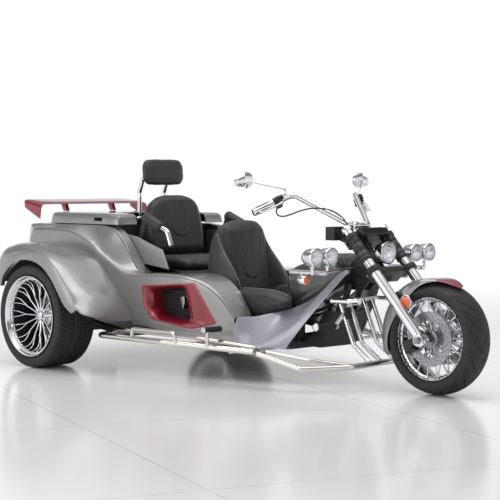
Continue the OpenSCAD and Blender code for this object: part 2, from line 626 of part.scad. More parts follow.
// ---- seats ----
module driver_seat_back() color("#26272a") place() {
    slab([[912, 530], [862, 620], [850, 730], [884, 880], [925, 914], [965, 908], [990, 870], [1015, 680],
        [1050, 490], [1034, 420]], -195, 195);
    both_sides() slab([[912, 530], [862, 620], [858, 730], [900, 790], [960, 780], [1075, 650], [1165, 520],
        [1130, 470], [1034, 420]], 194, 275);
}
module driver_seat_cushion() color("#26272a") place() {
    slab([[1034.4, 414], [1050.5, 489], [1140, 494], [1400, 500], [1425, 470], [1425, 372], [1250, 350]], -150, 150);
    both_sides() slab([[1034.4, 414], [1035, 419.9], [1130.4, 469.6], [1165.5, 519.6], [1290, 520], [1420, 545], [1560, 520],
        [1585, 480], [1560, 425], [1440, 375], [1250, 350]], 158, 275);
    both_sides() box([1160, 149, 400], [1400, 159, 490]);
}
module passenger_seat_back() color("#26272a") place()
    slab([[236, 700], [226, 850], [244, 1010], [272, 1054], [310, 1062], [340, 1040], [362, 900], [402, 690], [240, 690]],
        -225, 225);
module passenger_seat_cushion() color("#26272a") place()
    slab([[240, seat_floor + seat_gap], [240, 690 - seat_gap], [405, 690 - seat_gap], [412, 680], [650, 689], [690, 672], [700, 630],
        [680, seat_floor + seat_gap]], -225, 225);
module headrest() color("#26272a") place() {
    half = 165;
    translate([headrest_x, 0, 1216]) rotate([0, -6, 0]) rotate([0, 90, 0]) translate([0, 0, -34]) linear_extrude(68)
        polygon(concat([for (q = arc(38, 0, 90, 6, 45, half - 38)) q], [for (q = arc(38, 90, 180, 6, -45, half - 38)) q],
            [for (q = arc(38, 180, 270, 6, -45, 38 - half)) q], [for (q = arc(38, 270, 360, 6, 45, 38 - half)) q]));
    rod([236, 0, 1058], [222, 0, 1140], 9);
}
module headrest_bars() color("#e4e4e4") place() both_sides()
    bent_tube([[94.5, 105, shelf_top + seat_gap + 0.2], [92, 105, 1085], [128, 105, 1172], [170.6, 105, 1186]], 15, 40);
module armrests() color("#232325") place() both_sides() {
    rod([438, 350, 936], [604, 350, 870], 33);
    slab([[372, 778], [430, 940], [470, 925], [420, 778]], 345, 357);
    cross_rod(395, 794, 356, 385 - seat_gap, 14);
}
module grab_handles() color("#e4e4e4") place() both_sides()
    bent_tube([[604.6, 350, 869.7], [655, 350, 850], [698, 350, 748]], 16, 30);

// ---- bright bars ----
bar_r = side_bar_d / 2;
bar_x = [480, 1080, 1656];
module side_bars(side) color("#d8d6cf") place() mirror([0, side > 0 ? 1 : 0, 0]) {
    outer = [[bar_x[0], -560, 236], [bar_x[0], -750, 229], [bar_x[1], -750, 232], [bar_x[2] - 3, -560, 204]];
    inner = [[bar_x[0], -640, 236], [bar_x[0] + 60, -640, 258], [1240, -622, 258], [bar_x[2] - 40, -535, 225],
        [bar_x[2] - 10, -548, 208]];
    bent_tube(outer, bar_r, 50);
    bent_tube(inner, 12, 40);
    bent_tube([[800, -750, 232], [800, -750, 290], [1170, -740, 290], [1170, -735, 230]], 11, 26);
    // cross tubes in to the frame
    rod([bar_x[0], -rail_out - 1.5, rail_z], [bar_x[0], -563, 236], 16);
    rod([1240, -rail_out - 0.8, rail_z], [1240, -698, 226], 15);
    rod([1500, -rail_out - seat_gap, rail_z - 13], [1500, -612, rail_z - 13], 10);
    // peg for the passenger's foot
    rod([1370, -668, 222], [1370, -668, 318], 11);
    rod([1370, -700, 318], [1370, -560, 316], 17);
    // end plate
    rod([bar_x[2] - 4, -560, 204], [bar_x[2] + 3.7, -560, 204], bar_r + 8);
}
module front_bars() color("#d8d6cf") place() {
    lower = [[bar_x[2] + 9, -560, 196], [head_x - 60, -500, 128], [head_x + 118, -280, 138], [head_x + 148, -90, 150]];
    // the lower pipe runs round the nose from side to side
    bent_tube(concat(lower, [for (i = [3:-1:0]) mirror_y(lower[i])]), bar_r - 1, 60);
    both_sides() {
        bent_tube([[bar_x[2] + 14, -507, 204], [head_x - 60, -425, 172], [head_x + 60, -300, 150],
            [head_x + 119, -262, 140]], 11, 60);
        rod([bar_x[2] + 4, -560, 200], [bar_x[2] + 12, -560, 200], bar_r + 8);
        rod([bar_x[2] + 18, -560, 196], [bar_x[2] + 18, -504, 203], 12);
    }
}
module down_tubes() color("#e0e0e2") place() {
    // each ends on the front bars: [y, the bar's x and z there]
    for (q = [[-136, head_x + 138.6, 146.3], [-62, head_x + 148, 150], [62, head_x + 148, 150],
            [136, head_x + 138.6, 146.3]])
        bent_tube([[head_x - 105, q[0], 484], [head_x + 4, q[0], 244],
            [q[1], q[0], q[2]] - (bar_r - 0.7) * unit([144, 0, -94])], 13, 60);
    cross_rod(head_x - 105, 484, -150, 150, 13);
}
module foot_controls() color("#c8c8ca") place() both_sides() {
    // bar out from the frame, peg, pedal and its cylinder
    rod([head_x - 105, -150.3, 484], [head_x - 105, -200, 484], 12);
    rod([head_x - 112, -192, 484], [head_x + 70, -184, 486], 12);
    rod([head_x + 20, -200, 486], [head_x + 92, -184, 492], 20);
    bent_tube([[head_x + 48, -200, 486], [head_x + 26, -246, 420], [head_x + 2, -285, 359]], 12, 30);
    rod([head_x + 2, -270, 357], [head_x + 2, -440, 360], 18);
    rod([head_x + 2, -452, 360], [head_x + 2, -438, 360], 22);
}

// ---- lamps, tail and lid ----
spot_y = [357, 476];
spot_x = wheelbase - 447;
spot_z = 743;
module spot_lamps() color("#dcdcde") place() both_sides() {
    for (y = spot_y) {
        rod([spot_x - 86, y, spot_z], [spot_x - 8, y, spot_z], spot_d / 2 - 3);
        rod([spot_x - 12, y, spot_z], [spot_x, y, spot_z], spot_d / 2);
        rod([spot_x - 108, y, spot_z], [spot_x - 86, y, spot_z], 26, spot_d / 2 - 3);
    }
    // turn signal
    rod([spot_x - 215, 420, 612], [spot_x - 140, 420, 612], 26);
}
module lamp_brackets() color("#dcdcde") place() both_sides() {
    y = (spot_y[0] + spot_y[1]) / 2;
    rod([spot_x - 262, y, 655], [spot_x - 8, y, 655], 13);
    cross_rod(spot_x - 45, 655, spot_y[0], spot_y[1], 9);
    for (k = [0, 1]) rod([spot_x - 45, spot_y[k], 650], [spot_x - 45, spot_y[k], spot_z - spot_d / 2 + 3 - seat_gap], 9);
    rod([spot_x - 20, y, 657], [head_x - 62, gusset_y + 1.7, 670], 7);
    rod([spot_x - 180, y, 655], [spot_x - 180, y, 638 + seat_gap], 9);
}
module tail_lamps() color("#8a1620") place() both_sides() for (y = [330, 440])
    rod([-648 - seat_gap, y, 690], [-664, y, 690], 44);
plate_screw_y = 90;
module plate_holder() color("#1f1f21") place() {
    difference() {
        box([-662, -130, 540], [-656, 130, 680]);
        for (y = [-plate_screw_y, plate_screw_y]) translate([-663, y, 655]) rotate([0, 90, 0]) cylinder(h = 8, r = 3.5);
    }
    box([-657, -60, 610], [-648 - seat_gap, 60, 660]);
}
function lid_plan(d) = [[-596 + d, 240], [-396 + d, 450 - d], [296 - d, 450 - d], [296 - d, 300 + d],
    [54 - d, 290], [54 - d, -290], [296 - d, -300 - d], [296 - d, d - 450], [-396 + d, d - 450], [-596 + d, -240]];
module luggage_lid() color("#8b8a88") place() {
    difference() {
        translate([0, 0, lid_z]) linear_extrude(lid_top - lid_z) polygon(lid_plan(0));
        translate([0, 0, lid_z - 1]) linear_extrude(lid_top - lid_z - skin + 1) polygon(lid_plan(skin));
        // side vents
        for (s = [-1, 1]) box([40, s > 0 ? 430 : -470, lid_z + 16], [140, s > 0 ? 470 : -430, lid_top - 22]);
    }
    // hinge barrels on the back edge, and pads that rest on the deck
    both_sides() difference() {
        union() {
            cross_rod(hinge_x, hinge_z, 150, 190, 11);
            box([hinge_x, 152, hinge_z - 8], [-586, 188, hinge_z + 3]);
        }
        cross_rod(hinge_x, hinge_z, 149, 191, hinge_r + running);
    }
}
module spoiler() color("#a0303c") place() {
    half = spoiler_w / 2;
    tail = -spoiler_tail;
    slab([[-498, 1001], [-520, 1014], [-600, 1026], [tail, 1041], [tail, 1035], [-600, 1008], [-520, 996]], -half, half);
    both_sides() {
        slab([[-498, 1003], [-514, 907], [tail + 8, 984], [tail, 1040], [-600, 1024]], half - plate_t, half);
        slab([[-540, lid_top + seat_gap], [-592, lid_top + seat_gap], [-625, 1007], [-560, 1004]], 186, 214);
    }
}

frame();
steering_head();
engine();
rear_axle();
rear_body();
intake_frames();
seat_side_panels();
nose_panels();
tank_cover();
belly_panel();
driver_seat_back();
driver_seat_cushion();
passenger_seat_back();
passenger_seat_cushion();
headrest();
headrest_bars();
armrests();
grab_handles();
front_bars();
down_tubes();
foot_controls();
spot_lamps();
lamp_brackets();
tail_lamps();
plate_holder();
exhausts();
luggage_lid();
spoiler();
fork_legs();
fork_covers();
fork_clamps();
front_axle();
handlebar();
hand_controls();
mirrors();
brake_hose();
instrument_box();
headlight();
front_fender();
front_calipers();
front_tyre();
front_rim();
front_discs();
side_bars(-1);  // side_bars_right
side_bars(1);  // side_bars_left
rear_tyre(-1);  // rear_tyre_right
rear_rim(-1);  // rear_rim_right
rear_disc(-1);  // rear_disc_right
rear_tyre(1);  // rear_tyre_left
rear_rim(1);  // rear_rim_left
rear_disc(1);  // rear_disc_left
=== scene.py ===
import math
import bmesh
import bpy
import numpy as np
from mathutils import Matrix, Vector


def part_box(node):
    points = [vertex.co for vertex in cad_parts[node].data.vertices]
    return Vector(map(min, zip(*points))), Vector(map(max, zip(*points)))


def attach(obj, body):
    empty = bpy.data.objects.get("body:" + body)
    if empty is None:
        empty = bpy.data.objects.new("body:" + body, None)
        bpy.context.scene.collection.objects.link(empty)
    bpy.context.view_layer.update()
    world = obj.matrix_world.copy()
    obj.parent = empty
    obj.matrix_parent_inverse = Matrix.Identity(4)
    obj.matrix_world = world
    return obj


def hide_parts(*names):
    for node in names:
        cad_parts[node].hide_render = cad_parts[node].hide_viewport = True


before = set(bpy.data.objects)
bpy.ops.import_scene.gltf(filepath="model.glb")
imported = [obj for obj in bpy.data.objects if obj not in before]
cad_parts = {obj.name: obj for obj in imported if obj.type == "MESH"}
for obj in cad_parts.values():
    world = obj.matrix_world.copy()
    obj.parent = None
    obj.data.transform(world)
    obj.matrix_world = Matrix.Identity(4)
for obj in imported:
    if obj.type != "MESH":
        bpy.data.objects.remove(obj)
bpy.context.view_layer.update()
rearBox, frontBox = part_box("rear_tyre_right"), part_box("front_tyre")
axleX = (rearBox[0].x + rearBox[1].x) / 2       # rear axle
wheelX = (frontBox[0].x + frontBox[1].x) / 2    # front axle
rearR = rearBox[1].z / 2
frontR = frontBox[1].z / 2
rearY = (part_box("rear_tyre_left")[0].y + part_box("rear_tyre_left")[1].y) / 2
wheelbase = (wheelX - axleX) * 1000
rake = math.radians(43)
print("frame loaded")


# ---- shapes as arrays of points ----

def mm(points):
    # millimetres ahead of the rear axle, as metres in the frame
    return np.asarray(points, float) / 1000 + [axleX, 0, 0]


def unit(v):
    return v / np.linalg.norm(v, axis=-1, keepdims=True)


def smoothCurve(points, count):
    # cubic curve through the points, sampled evenly along its chords
    p = np.asarray(points, float)
    t = np.concatenate([[0], np.cumsum(np.linalg.norm(np.diff(p, axis=0), axis=1))])
    slope = np.gradient(p, t, axis=0)
    s = np.linspace(0, t[-1], count)
    k = np.clip(np.searchsorted(t, s, side="right") - 1, 0, len(t) - 2)
    h = (t[k + 1] - t[k])[:, None]
    f = (s - t[k])[:, None] / h
    return (p[k] * (2 * f**3 - 3 * f**2 + 1) + h * slope[k] * (f**3 - 2 * f**2 + f)
            + p[k + 1] * (3 * f**2 - 2 * f**3) + h * slope[k + 1] * (f**3 - f**2))


def smoothStep(x):
    x = np.clip(x, 0, 1)
    return x * x * (3 - 2 * x)


def rounded(points, bend, steps=8):
    # a path through the points whose corners follow arcs of the bend's radius
    p = [np.asarray(q, float) for q in points]
    out = [p[0]]
    for a, b, c in zip(p, p[1:], p[2:]):
        d1, d2 = unit(b - a), unit(c - b)
        angle = math.acos(float(np.clip(d1 @ d2, -1, 1)))
        if angle < 0.02:
            out.append(b)
            continue
        reach = min(bend * math.tan(angle / 2), 0.49 * np.linalg.norm(b - a), 0.49 * np.linalg.norm(c - b))
        f = np.linspace(0, 1, steps)[:, None]
        start, end = b - d1 * reach, b + d2 * reach
        out.extend((1 - f)**2 * start + 2 * f * (1 - f) * b + f**2 * end)
    return np.array(out + [p[-1]])


def quads(rows, cols, closeRows=False, closeCols=False):
    # faces between neighbours of a rows by cols grid
    r, c = np.meshgrid(np.arange(rows - (not closeRows)), np.arange(cols - (not closeCols)), indexing="ij")
    r2, c2 = (r + 1) % rows, (c + 1) % cols
    return np.stack([r * cols + c, r * cols + c2, r2 * cols + c2, r2 * cols + c], -1).reshape(-1, 4)


def sheetOf(grid, closeRows=False, closeCols=False, caps=False):
    # a surface on a grid of points; caps close its first and last rows round their middles
    rows, cols = grid.shape[:2]
    points = grid.reshape(-1, 3)
    faces = quads(rows, cols, closeRows, closeCols).tolist()
    if caps:
        ring = np.arange(cols)
        for row in (0, rows - 1):
            points = np.vstack([points, grid[row].mean(0)])
            a = row * cols + ring
            faces += np.stack([a, row * cols + (ring + 1) % cols, np.full(cols, len(points) - 1)], -1).tolist()
    return points, faces


def tube(path, radius, sides=18, squash=1.0, up=(0, 0, 1)):
    # a circle of the radius carried along the path without twisting
    path = np.asarray(path, float)
    way = unit(np.gradient(path, axis=0))
    radius = np.broadcast_to(np.asarray(radius, float), (len(path),))
    u = np.array(up, float)
    if abs(way[0] @ u) > 0.9:
        u = np.array([1.0, 0, 0])
    side = []
    for w in way:
        u = unit(u - (u @ w) * w)
        side.append(u)
    side = np.array(side)[:, None]
    other = np.cross(way[:, None], side)
    t = np.linspace(0, 2 * math.pi, sides, endpoint=False)[None, :, None]
    ring = side * np.cos(t) + other * np.sin(t) * squash
    return sheetOf(path[:, None] + radius[:, None, None] * ring, closeCols=True, caps=True)


def lathe(profile, origin=(0, 0, 0), axis=(0, 1, 0), sides=48, closed=False):
    # each (distance along the axis, radius) of the profile goes once round the axis
    a = unit(np.array(axis, float))
    u = unit(np.cross(a, [0, 0, 1.0] if abs(a[2]) < 0.9 else [1.0, 0, 0]))
    v = np.cross(a, u)
    p = np.asarray(profile, float)
    t = np.linspace(0, 2 * math.pi, sides, endpoint=False)
    ring = np.cos(t)[:, None] * u + np.sin(t)[:, None] * v
    grid = np.array(origin, float) + p[:, 0, None, None] * a + p[:, 1, None, None] * ring[None]
    return sheetOf(grid, closeRows=closed, closeCols=True)


def prism(outline, y0, y1):
    # an outline in the side view, standing between two values of y
    o = np.asarray(outline, float)
    n = len(o)
    points = np.concatenate([np.insert(o, 1, y, axis=1) for y in (y0, y1)])
    ring = np.arange(n)
    faces = np.stack([ring, (ring + 1) % n, (ring + 1) % n + n, ring + n], -1).tolist()
    return points, faces + [ring[::-1].tolist(), (ring + n).tolist()]


def block(low, high):
    low, high = np.asarray(low, float), np.asarray(high, float)
    return prism([[low[0], low[2]], [high[0], low[2]], [high[0], high[2]], [low[0], high[2]]], low[1], high[1])


def flipped(part):
    # the same part on the rider's other side
    return part[0] * [1, -1, 1], [f[::-1] for f in part[1]]


def bothSides(parts):
    return parts + [(flipped(p[:2]) + tuple(p[2:])) for p in parts]


def moved(part, offset):
    return (part[0] + np.asarray(offset, float),) + tuple(part[1:])


def inMm(part):
    return (mm(part[0]),) + tuple(part[1:])


def alongFork(part, offY=0.0):
    # x forwards off the legs and z up along them, in metres from the front axle
    p = part[0]
    x = wheelX + p[:, 0] * math.cos(rake) - p[:, 2] * math.sin(rake)
    z = frontR + p[:, 0] * math.sin(rake) + p[:, 2] * math.cos(rake)
    return (np.stack([x, p[:, 1] + offY, z], -1),) + tuple(part[1:])


def meshOf(name, parts, materials, recalc=True):
    # one mesh of several parts; a part's third item is the number of its material
    points, faces, which, start = [], [], [], 0
    for part in parts:
        points.append(part[0])
        faces += [[i + start for i in f] for f in part[1]]
        which += [part[2] if len(part) > 2 else 0] * len(part[1])
        start += len(part[0])
    mesh = bpy.data.meshes.new(name)
    mesh.from_pydata(np.concatenate(points).tolist(), [], faces)
    mesh.polygons.foreach_set("material_index", which)
    for m in materials:
        mesh.materials.append(m)
    bm = bmesh.new()
    bm.from_mesh(mesh)
    bmesh.ops.remove_doubles(bm, verts=bm.verts, dist=2e-6)
    bmesh.ops.dissolve_degenerate(bm, edges=bm.edges, dist=1e-7)
    if recalc:
        bmesh.ops.recalc_face_normals(bm, faces=bm.faces)
    bm.to_mesh(mesh)
    bm.free()
    return mesh


def applied(piece):
    # the modifiers worked into the mesh
    bpy.context.view_layer.update()
    baked = bpy.data.meshes.new_from_object(piece.evaluated_get(bpy.context.evaluated_depsgraph_get()))
    piece.modifiers.clear()
    piece.data = baked


def addPiece(name, parts, materials, body, stands=(), wall=0, bevel=0, segments=2, cuts=(), sharp=38,
             recalc=True, level=0, outward=-1):
    materials = materials if isinstance(materials, (list, tuple)) else [materials]
    piece = bpy.data.objects.new(name, meshOf(name, parts, materials, recalc))
    bpy.context.scene.collection.objects.link(piece)
    if wall:
        solid = piece.modifiers.new("wall", "SOLIDIFY")
        solid.thickness, solid.offset = wall, outward
        solid.use_even_offset = True
        solid.thickness_clamp = 1
    spare = []
    for i, cut in enumerate(cuts):
        cutter = bpy.data.objects.new(f"{name}Cut{i}", meshOf(f"{name}Cut{i}", [cut], materials[:1]))
        bpy.context.scene.collection.objects.link(cutter)
        hole = piece.modifiers.new("hole", "BOOLEAN")
        hole.operation, hole.solver, hole.object = "DIFFERENCE", "EXACT", cutter
        spare.append(cutter)
    if bevel:
        edge = piece.modifiers.new("edge", "BEVEL")
        edge.width, edge.segments, edge.limit_method, edge.angle_limit = bevel, segments, "ANGLE", math.radians(32)
    if level:
        smooth = piece.modifiers.new("smooth", "SUBSURF")
        smooth.levels = smooth.render_levels = level
    if piece.modifiers:
        applied(piece)
    for cutter in spare:
        bpy.data.objects.remove(cutter)
    piece.data.shade_smooth()
    piece.data.set_sharp_from_angle(angle=math.radians(sharp))
    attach(piece, body)
    if stands:
        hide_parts(*stands)
    return piece


# ---- finishes ----

def linear(hexColour):
    c = np.array([int(hexColour[i:i + 2], 16) for i in (1, 3, 5)]) / 255
    return (*np.where(c <= 0.04045, c / 12.92, ((c + 0.055) / 1.055)**2.4), 1.0)


def addNode(tree, kind, settings=None, links=None):
    node = tree.nodes.new("ShaderNode" + kind)
    for key, value in (settings or {}).items():
        if isinstance(key, str) and hasattr(node, key):
            setattr(node, key, value)
        else:
            node.inputs[key].default_value = value
    for key, (source, output) in (links or {}).items():
        tree.links.new(source.outputs[output], node.inputs[key])
    return node


def finishOf(name, colour, second, metallic, rough, kind="Noise", size=2.0, bump=0.05, depth=0.2, stretch=(1, 1, 1),
             detail=3.0, **shaderSettings):
    # size is the pattern's real size in millimetres; second is the colour that the pattern and slow mottling mix in
    material = bpy.data.materials.new(name)
    material.use_nodes = True
    tree = material.node_tree
    shader = tree.nodes["Principled BSDF"]
    shader.inputs["Metallic"].default_value = metallic
    for key, value in shaderSettings.items():
        shader.inputs[key].default_value = value
    place = addNode(tree, "TexCoord")
    scaled = addNode(tree, "Mapping", {"Scale": stretch}, {"Vector": (place, "Object")})
    if kind == "Voronoi":
        pattern = addNode(tree, "TexVoronoi", {"Scale": 1000 / size}, {"Vector": (scaled, "Vector")})
        value = (pattern, "Distance")
    else:
        pattern = addNode(tree, "TexNoise", {"Scale": 1000 / size, "Detail": detail}, {"Vector": (scaled, "Vector")})
        value = (pattern, "Fac")
    slow = addNode(tree, "TexNoise", {"Scale": 9.0, "Detail": 4.0}, {"Vector": (place, "Object")})
    both = addNode(tree, "Math", {"operation": "MULTIPLY"}, {0: value, 1: (slow, "Fac")})
    share = addNode(tree, "MapRange", {"From Min": 0.05, "From Max": 0.45}, {"Value": (both, "Value")})
    mix = addNode(tree, "Mix", {"data_type": "RGBA", 6: linear(colour), 7: linear(second)}, {0: (share, "Result")})
    tree.links.new(mix.outputs[2], shader.inputs["Base Color"])
    spread = addNode(tree, "MapRange", {"To Min": max(rough - 0.05, 0.02), "To Max": rough + 0.07},
                     {"Value": (slow, "Fac")})
    tree.links.new(spread.outputs["Result"], shader.inputs["Roughness"])
    if bump:
        relief = addNode(tree, "Bump", {"Strength": bump, "Distance": depth / 1000}, {"Height": value})
        tree.links.new(relief.outputs["Normal"], shader.inputs["Normal"])
    return material


coat = {"Coat Weight": 1.0, "Coat Roughness": 0.04}
greyPaint = finishOf("metallicBasecoat", "#9E9C9B", "#8C8A89", 0.78, 0.38, "Voronoi", 1.6, 0.03, 0.05, **coat)   # aluminium flake under clear coat: grey that darkens away from the light
# the body's grey paint made paler and bluer for the nose panels: painted light, the lavender tone of the lit side
greyPaintPaintedLighter = finishOf("metallicBasecoatPaintedLighter", "#A6A6AF", "#9898A1", 0.6, 0.42, "Voronoi", 1.6, 0.03, 0.05, **coat)
redPaint = finishOf("redBasecoat", "#9A1F30", "#7E1526", 0.25, 0.32, "Voronoi", 1.6, 0.03, 0.05, **coat)
darkPaint = finishOf("glossBlackGel", "#4A4A48", "#3A3A38", 0.4, 0.24, "Noise", 30, 0.02, 0.1, **coat)
chromePlate = finishOf("chromePlate", "#E9E9EB", "#DADADF", 1.0, 0.07, "Noise", 60, 0.01, 0.1)                # mirror-bright, faintly wavy
steelPolish = finishOf("polishedStainless", "#E4E1DA", "#CBC7BF", 1.0, 0.17, "Noise", 1.2, 0.06, 0.03, (0.06, 1, 1))   # warm, with fine lines along the bars
coverGrey = finishOf("satinGreyPaint", "#4C4C50", "#424246", 0.3, 0.4, "Noise", 4, 0.04, 0.05)
satinSteel = finishOf("satinSteel", "#A9A9AB", "#88888B", 1.0, 0.34, "Noise", 2.5, 0.1, 0.05)
discSteel = finishOf("groundDiscSteel", "#A9AAAD", "#8B8C8F", 1.0, 0.32, "Noise", 1.5, 0.12, 0.04, (1, 0.1, 1))
castAlloy = finishOf("sandCastAlloy", "#77787B", "#4F5053", 0.9, 0.5, "Noise", 1.6, 0.4, 0.3)                   # grit marks of a sand mould
# black powder coat; the same black also fills the dots standing for the front discs' drilled holes, painted shade
powderBlackAndHoleShade = finishOf("blackPowderCoatAndPaintedHoleShade", "#161617", "#232325", 0.0, 0.42, "Noise", 1.2, 0.25, 0.12)             # fine orange peel
mouldedBlack = finishOf("mouldedAbs", "#141415", "#1F1F21", 0.0, 0.5, "Voronoi", 1.4, 0.35, 0.12)               # pebble texture from the mould
softBlack = finishOf("gripRubber", "#151515", "#202021", 0.0, 0.68, "Noise", 1.0, 0.3, 0.15)
leather = finishOf("seatLeather", "#212225", "#2C2D31", 0.0, 0.46, "Voronoi", 2.2, 0.55, 0.25, **{"Sheen Weight": 0.15, "Sheen Roughness": 0.4})   # grained hide, soft shine on the crowns
leatherPanel = finishOf("smoothLeather", "#222226", "#2E2E33", 0.0, 0.4, "Voronoi", 1.5, 0.35, 0.15, **{"Sheen Weight": 0.15, "Sheen Roughness": 0.4})
# grey of the stitching thread; the same grey also colours the tubes along the seat wings, a painted highlight
threadAndPaintedHighlight = finishOf("nylonThreadAndPaintedHighlight", "#6E6E72", "#8A8A8E", 0.0, 0.6, "Noise", 0.8, 0.4, 0.2)
tyreRubber = finishOf("tyreRubber", "#1F1F20", "#2A2A2B", 0.0, 0.62, "Noise", 1.4, 0.25, 0.15)
hoseRubber = finishOf("hoseRubber", "#131314", "#1D1D1E", 0.0, 0.5, "Noise", 1.0, 0.3, 0.1)
carpet = finishOf("needleFelt", "#19191B", "#2A2A2D", 0.0, 0.95, "Noise", 1.5, 0.9, 0.8, **{"Sheen Weight": 0.3})
amberLens = finishOf("amberAcrylic", "#F07018", "#D85A10", 0.0, 0.14, "Noise", 8, 0.1, 0.2, **coat)
redLens = finishOf("redAcrylic", "#8E1018", "#6E0A12", 0.0, 0.14, "Noise", 8, 0.1, 0.2, **coat)
clearLens = finishOf("clearPolycarbonate", "#F6F8FA", "#F0F3F6", 0.0, 0.05, "Noise", 20, 0.0, 0.1, IOR=1.58)
clearLens.node_tree.nodes["Principled BSDF"].inputs["Transmission Weight"].default_value = 0.95
print("finishes made")


# ---- stage, light and camera ----

camera = {"from": [7.645, -6.337, 1.150], "at": [1.023, 0.0, 0.737], "lens": 108.0}
view = bpy.data.objects.new("camera", bpy.data.cameras.new("camera"))
view.data.lens, view.data.sensor_width = camera["lens"], 36.0
place = np.array(camera["from"]) + [axleX, 0, 0]
way = np.array(camera["at"]) + [axleX, 0, 0] - place
view.location = place
view.rotation_euler = (math.pi / 2 + math.atan2(way[2], math.hypot(way[0], way[1])), 0, math.atan2(-way[0], way[1]))
view.data.clip_end = 200
bpy.context.scene.collection.objects.link(view)
bpy.context.scene.camera = view
bpy.context.scene.view_settings.view_transform = "Standard"

studio = {"sky": 1.0, "floor": "#F4F4F5", "joint": "#E2E2E5", "tile": 1.6}


def makeFloor():
    material = bpy.data.materials.new("polishedConcrete")
    material.use_nodes = True
    tree = material.node_tree
    shader = tree.nodes["Principled BSDF"]
    out = tree.nodes["Material Output"]
    spot = addNode(tree, "TexCoord")
    mapped = addNode(tree, "Mapping", {"Rotation": (0, 0, 0.35)}, {"Vector": (spot, "Object")})
    slabs = addNode(tree, "TexBrick", {"offset": 0.0, "Color1": linear(studio["floor"]), "Color2": linear(studio["floor"]),
                                       "Mortar": linear(studio["joint"]), "Scale": 1.0, "Mortar Size": 0.008,
                                       "Brick Width": studio["tile"], "Row Height": studio["tile"]},
                    {"Vector": (mapped, "Vector")})
    tree.links.new(slabs.outputs["Color"], shader.inputs["Base Color"])
    shader.inputs["Roughness"].default_value = 0.16
    shader.inputs["Specular IOR Level"].default_value = 0.45
    away = addNode(tree, "VectorMath", {"operation": "LENGTH"}, {0: (spot, "Object")})
    fade = addNode(tree, "MapRange", {"From Min": 3.2, "From Max": 7.5}, {"Value": (away, "Value")})
    glow = addNode(tree, "Emission", {"Color": (1, 1, 1, 1), "Strength": 1.0})
    blend = addNode(tree, "MixShader", None, {0: (fade, "Result"), 1: (shader, "BSDF"), 2: (glow, "Emission")})
    tree.links.new(blend.outputs["Shader"], out.inputs["Surface"])
    mesh = bpy.data.meshes.new("floor")
    s = 40.0
    mesh.from_pydata([(-s, -s, 0), (s, -s, 0), (s, s, 0), (-s, s, 0)], [], [(0, 1, 2, 3)])
    mesh.materials.append(material)
    floor = bpy.data.objects.new("floor", mesh)
    bpy.context.scene.collection.objects.link(floor)


def makeSky():
    world = bpy.data.worlds.new("studio")
    world.use_nodes = True
    bpy.context.scene.world = world
    tree = world.node_tree
    back = tree.nodes["Background"]
    ray = addNode(tree, "LightPath")
    seen = addNode(tree, "Math", {"operation": "MAXIMUM"}, {0: (ray, "Is Camera Ray"), 1: (ray, "Is Transmission Ray")})
    # white to the eye; metal and paint reflect a bright horizon with a darker band above it
    where = addNode(tree, "TexCoord")
    split = addNode(tree, "SeparateXYZ", None, {"Vector": (where, "Generated")})
    bands = addNode(tree, "ValToRGB", None, {"Fac": (split, "Z")})
    ramp = bands.color_ramp
    ramp.elements[0].position, ramp.elements[0].color = 0.0, (0.86, 0.86, 0.87, 1)
    ramp.elements[1].position, ramp.elements[1].color = 1.0, (1, 1, 1, 1)
    for at, grey in ((0.08, 0.98), (0.20, 0.80), (0.32, 0.28), (0.56, 0.24), (0.74, 0.8)):
        stop = ramp.elements.new(at)
        stop.color = (grey, grey, grey * 1.01, 1)
    lit = addNode(tree, "Background", {"Color": (1, 1, 1, 1), "Strength": 1.0})
    tree.links.new(bands.outputs["Color"], back.inputs["Color"])
    back.inputs["Strength"].default_value = studio["sky"]
    both = addNode(tree, "MixShader", None, {0: (seen, "Value"), 1: (back, "Background"), 2: (lit, "Background")})
    tree.links.new(both.outputs["Shader"], tree.nodes["World Output"].inputs["Surface"])


def softbox(name, at, target, size, watts):
    light = bpy.data.lights.new(name, "AREA")
    light.shape, light.size, light.size_y, light.energy = "RECTANGLE", size[0], size[1], watts
    lamp = bpy.data.objects.new(name, light)
    lamp.location = at
    d = np.array(target, float) - np.array(at, float)
    lamp.rotation_euler = (math.acos(-d[2] / np.linalg.norm(d)), 0, math.atan2(d[1], d[0]) - math.pi / 2)
    bpy.context.scene.collection.objects.link(lamp)


makeFloor()
makeSky()
softbox("topLight", (0.2, -0.4, 4.6), (0, 0, 0), (5.0, 3.0), 92)
softbox("sideLight", (-0.4, -5.6, 2.2), (0, 0, 0.6), (7.0, 2.4), 92)
softbox("noseLight", (5.6, -1.0, 2.4), (0.6, 0, 0.6), (2.2, 1.6), 8)
print("studio made")


# ---- wheels ----

rearTyre = {"half": 0.1425, "bead": 0.2293, "flange": 0.251, "grooves": [0.024, 0.070], "grooveWide": 0.0065,
            "grooveDeep": 0.0075, "sipes": 64}
frontTyre = {"half": 0.100, "bead": 0.2153, "flange": 0.2245, "sweeps": 17, "grooveDeep": 0.0055}


def band(x, half, soft):
    # 1 inside a strip, falling to 0 over its soft edge
    return 1 - smoothStep((np.abs(x) - half) / soft)


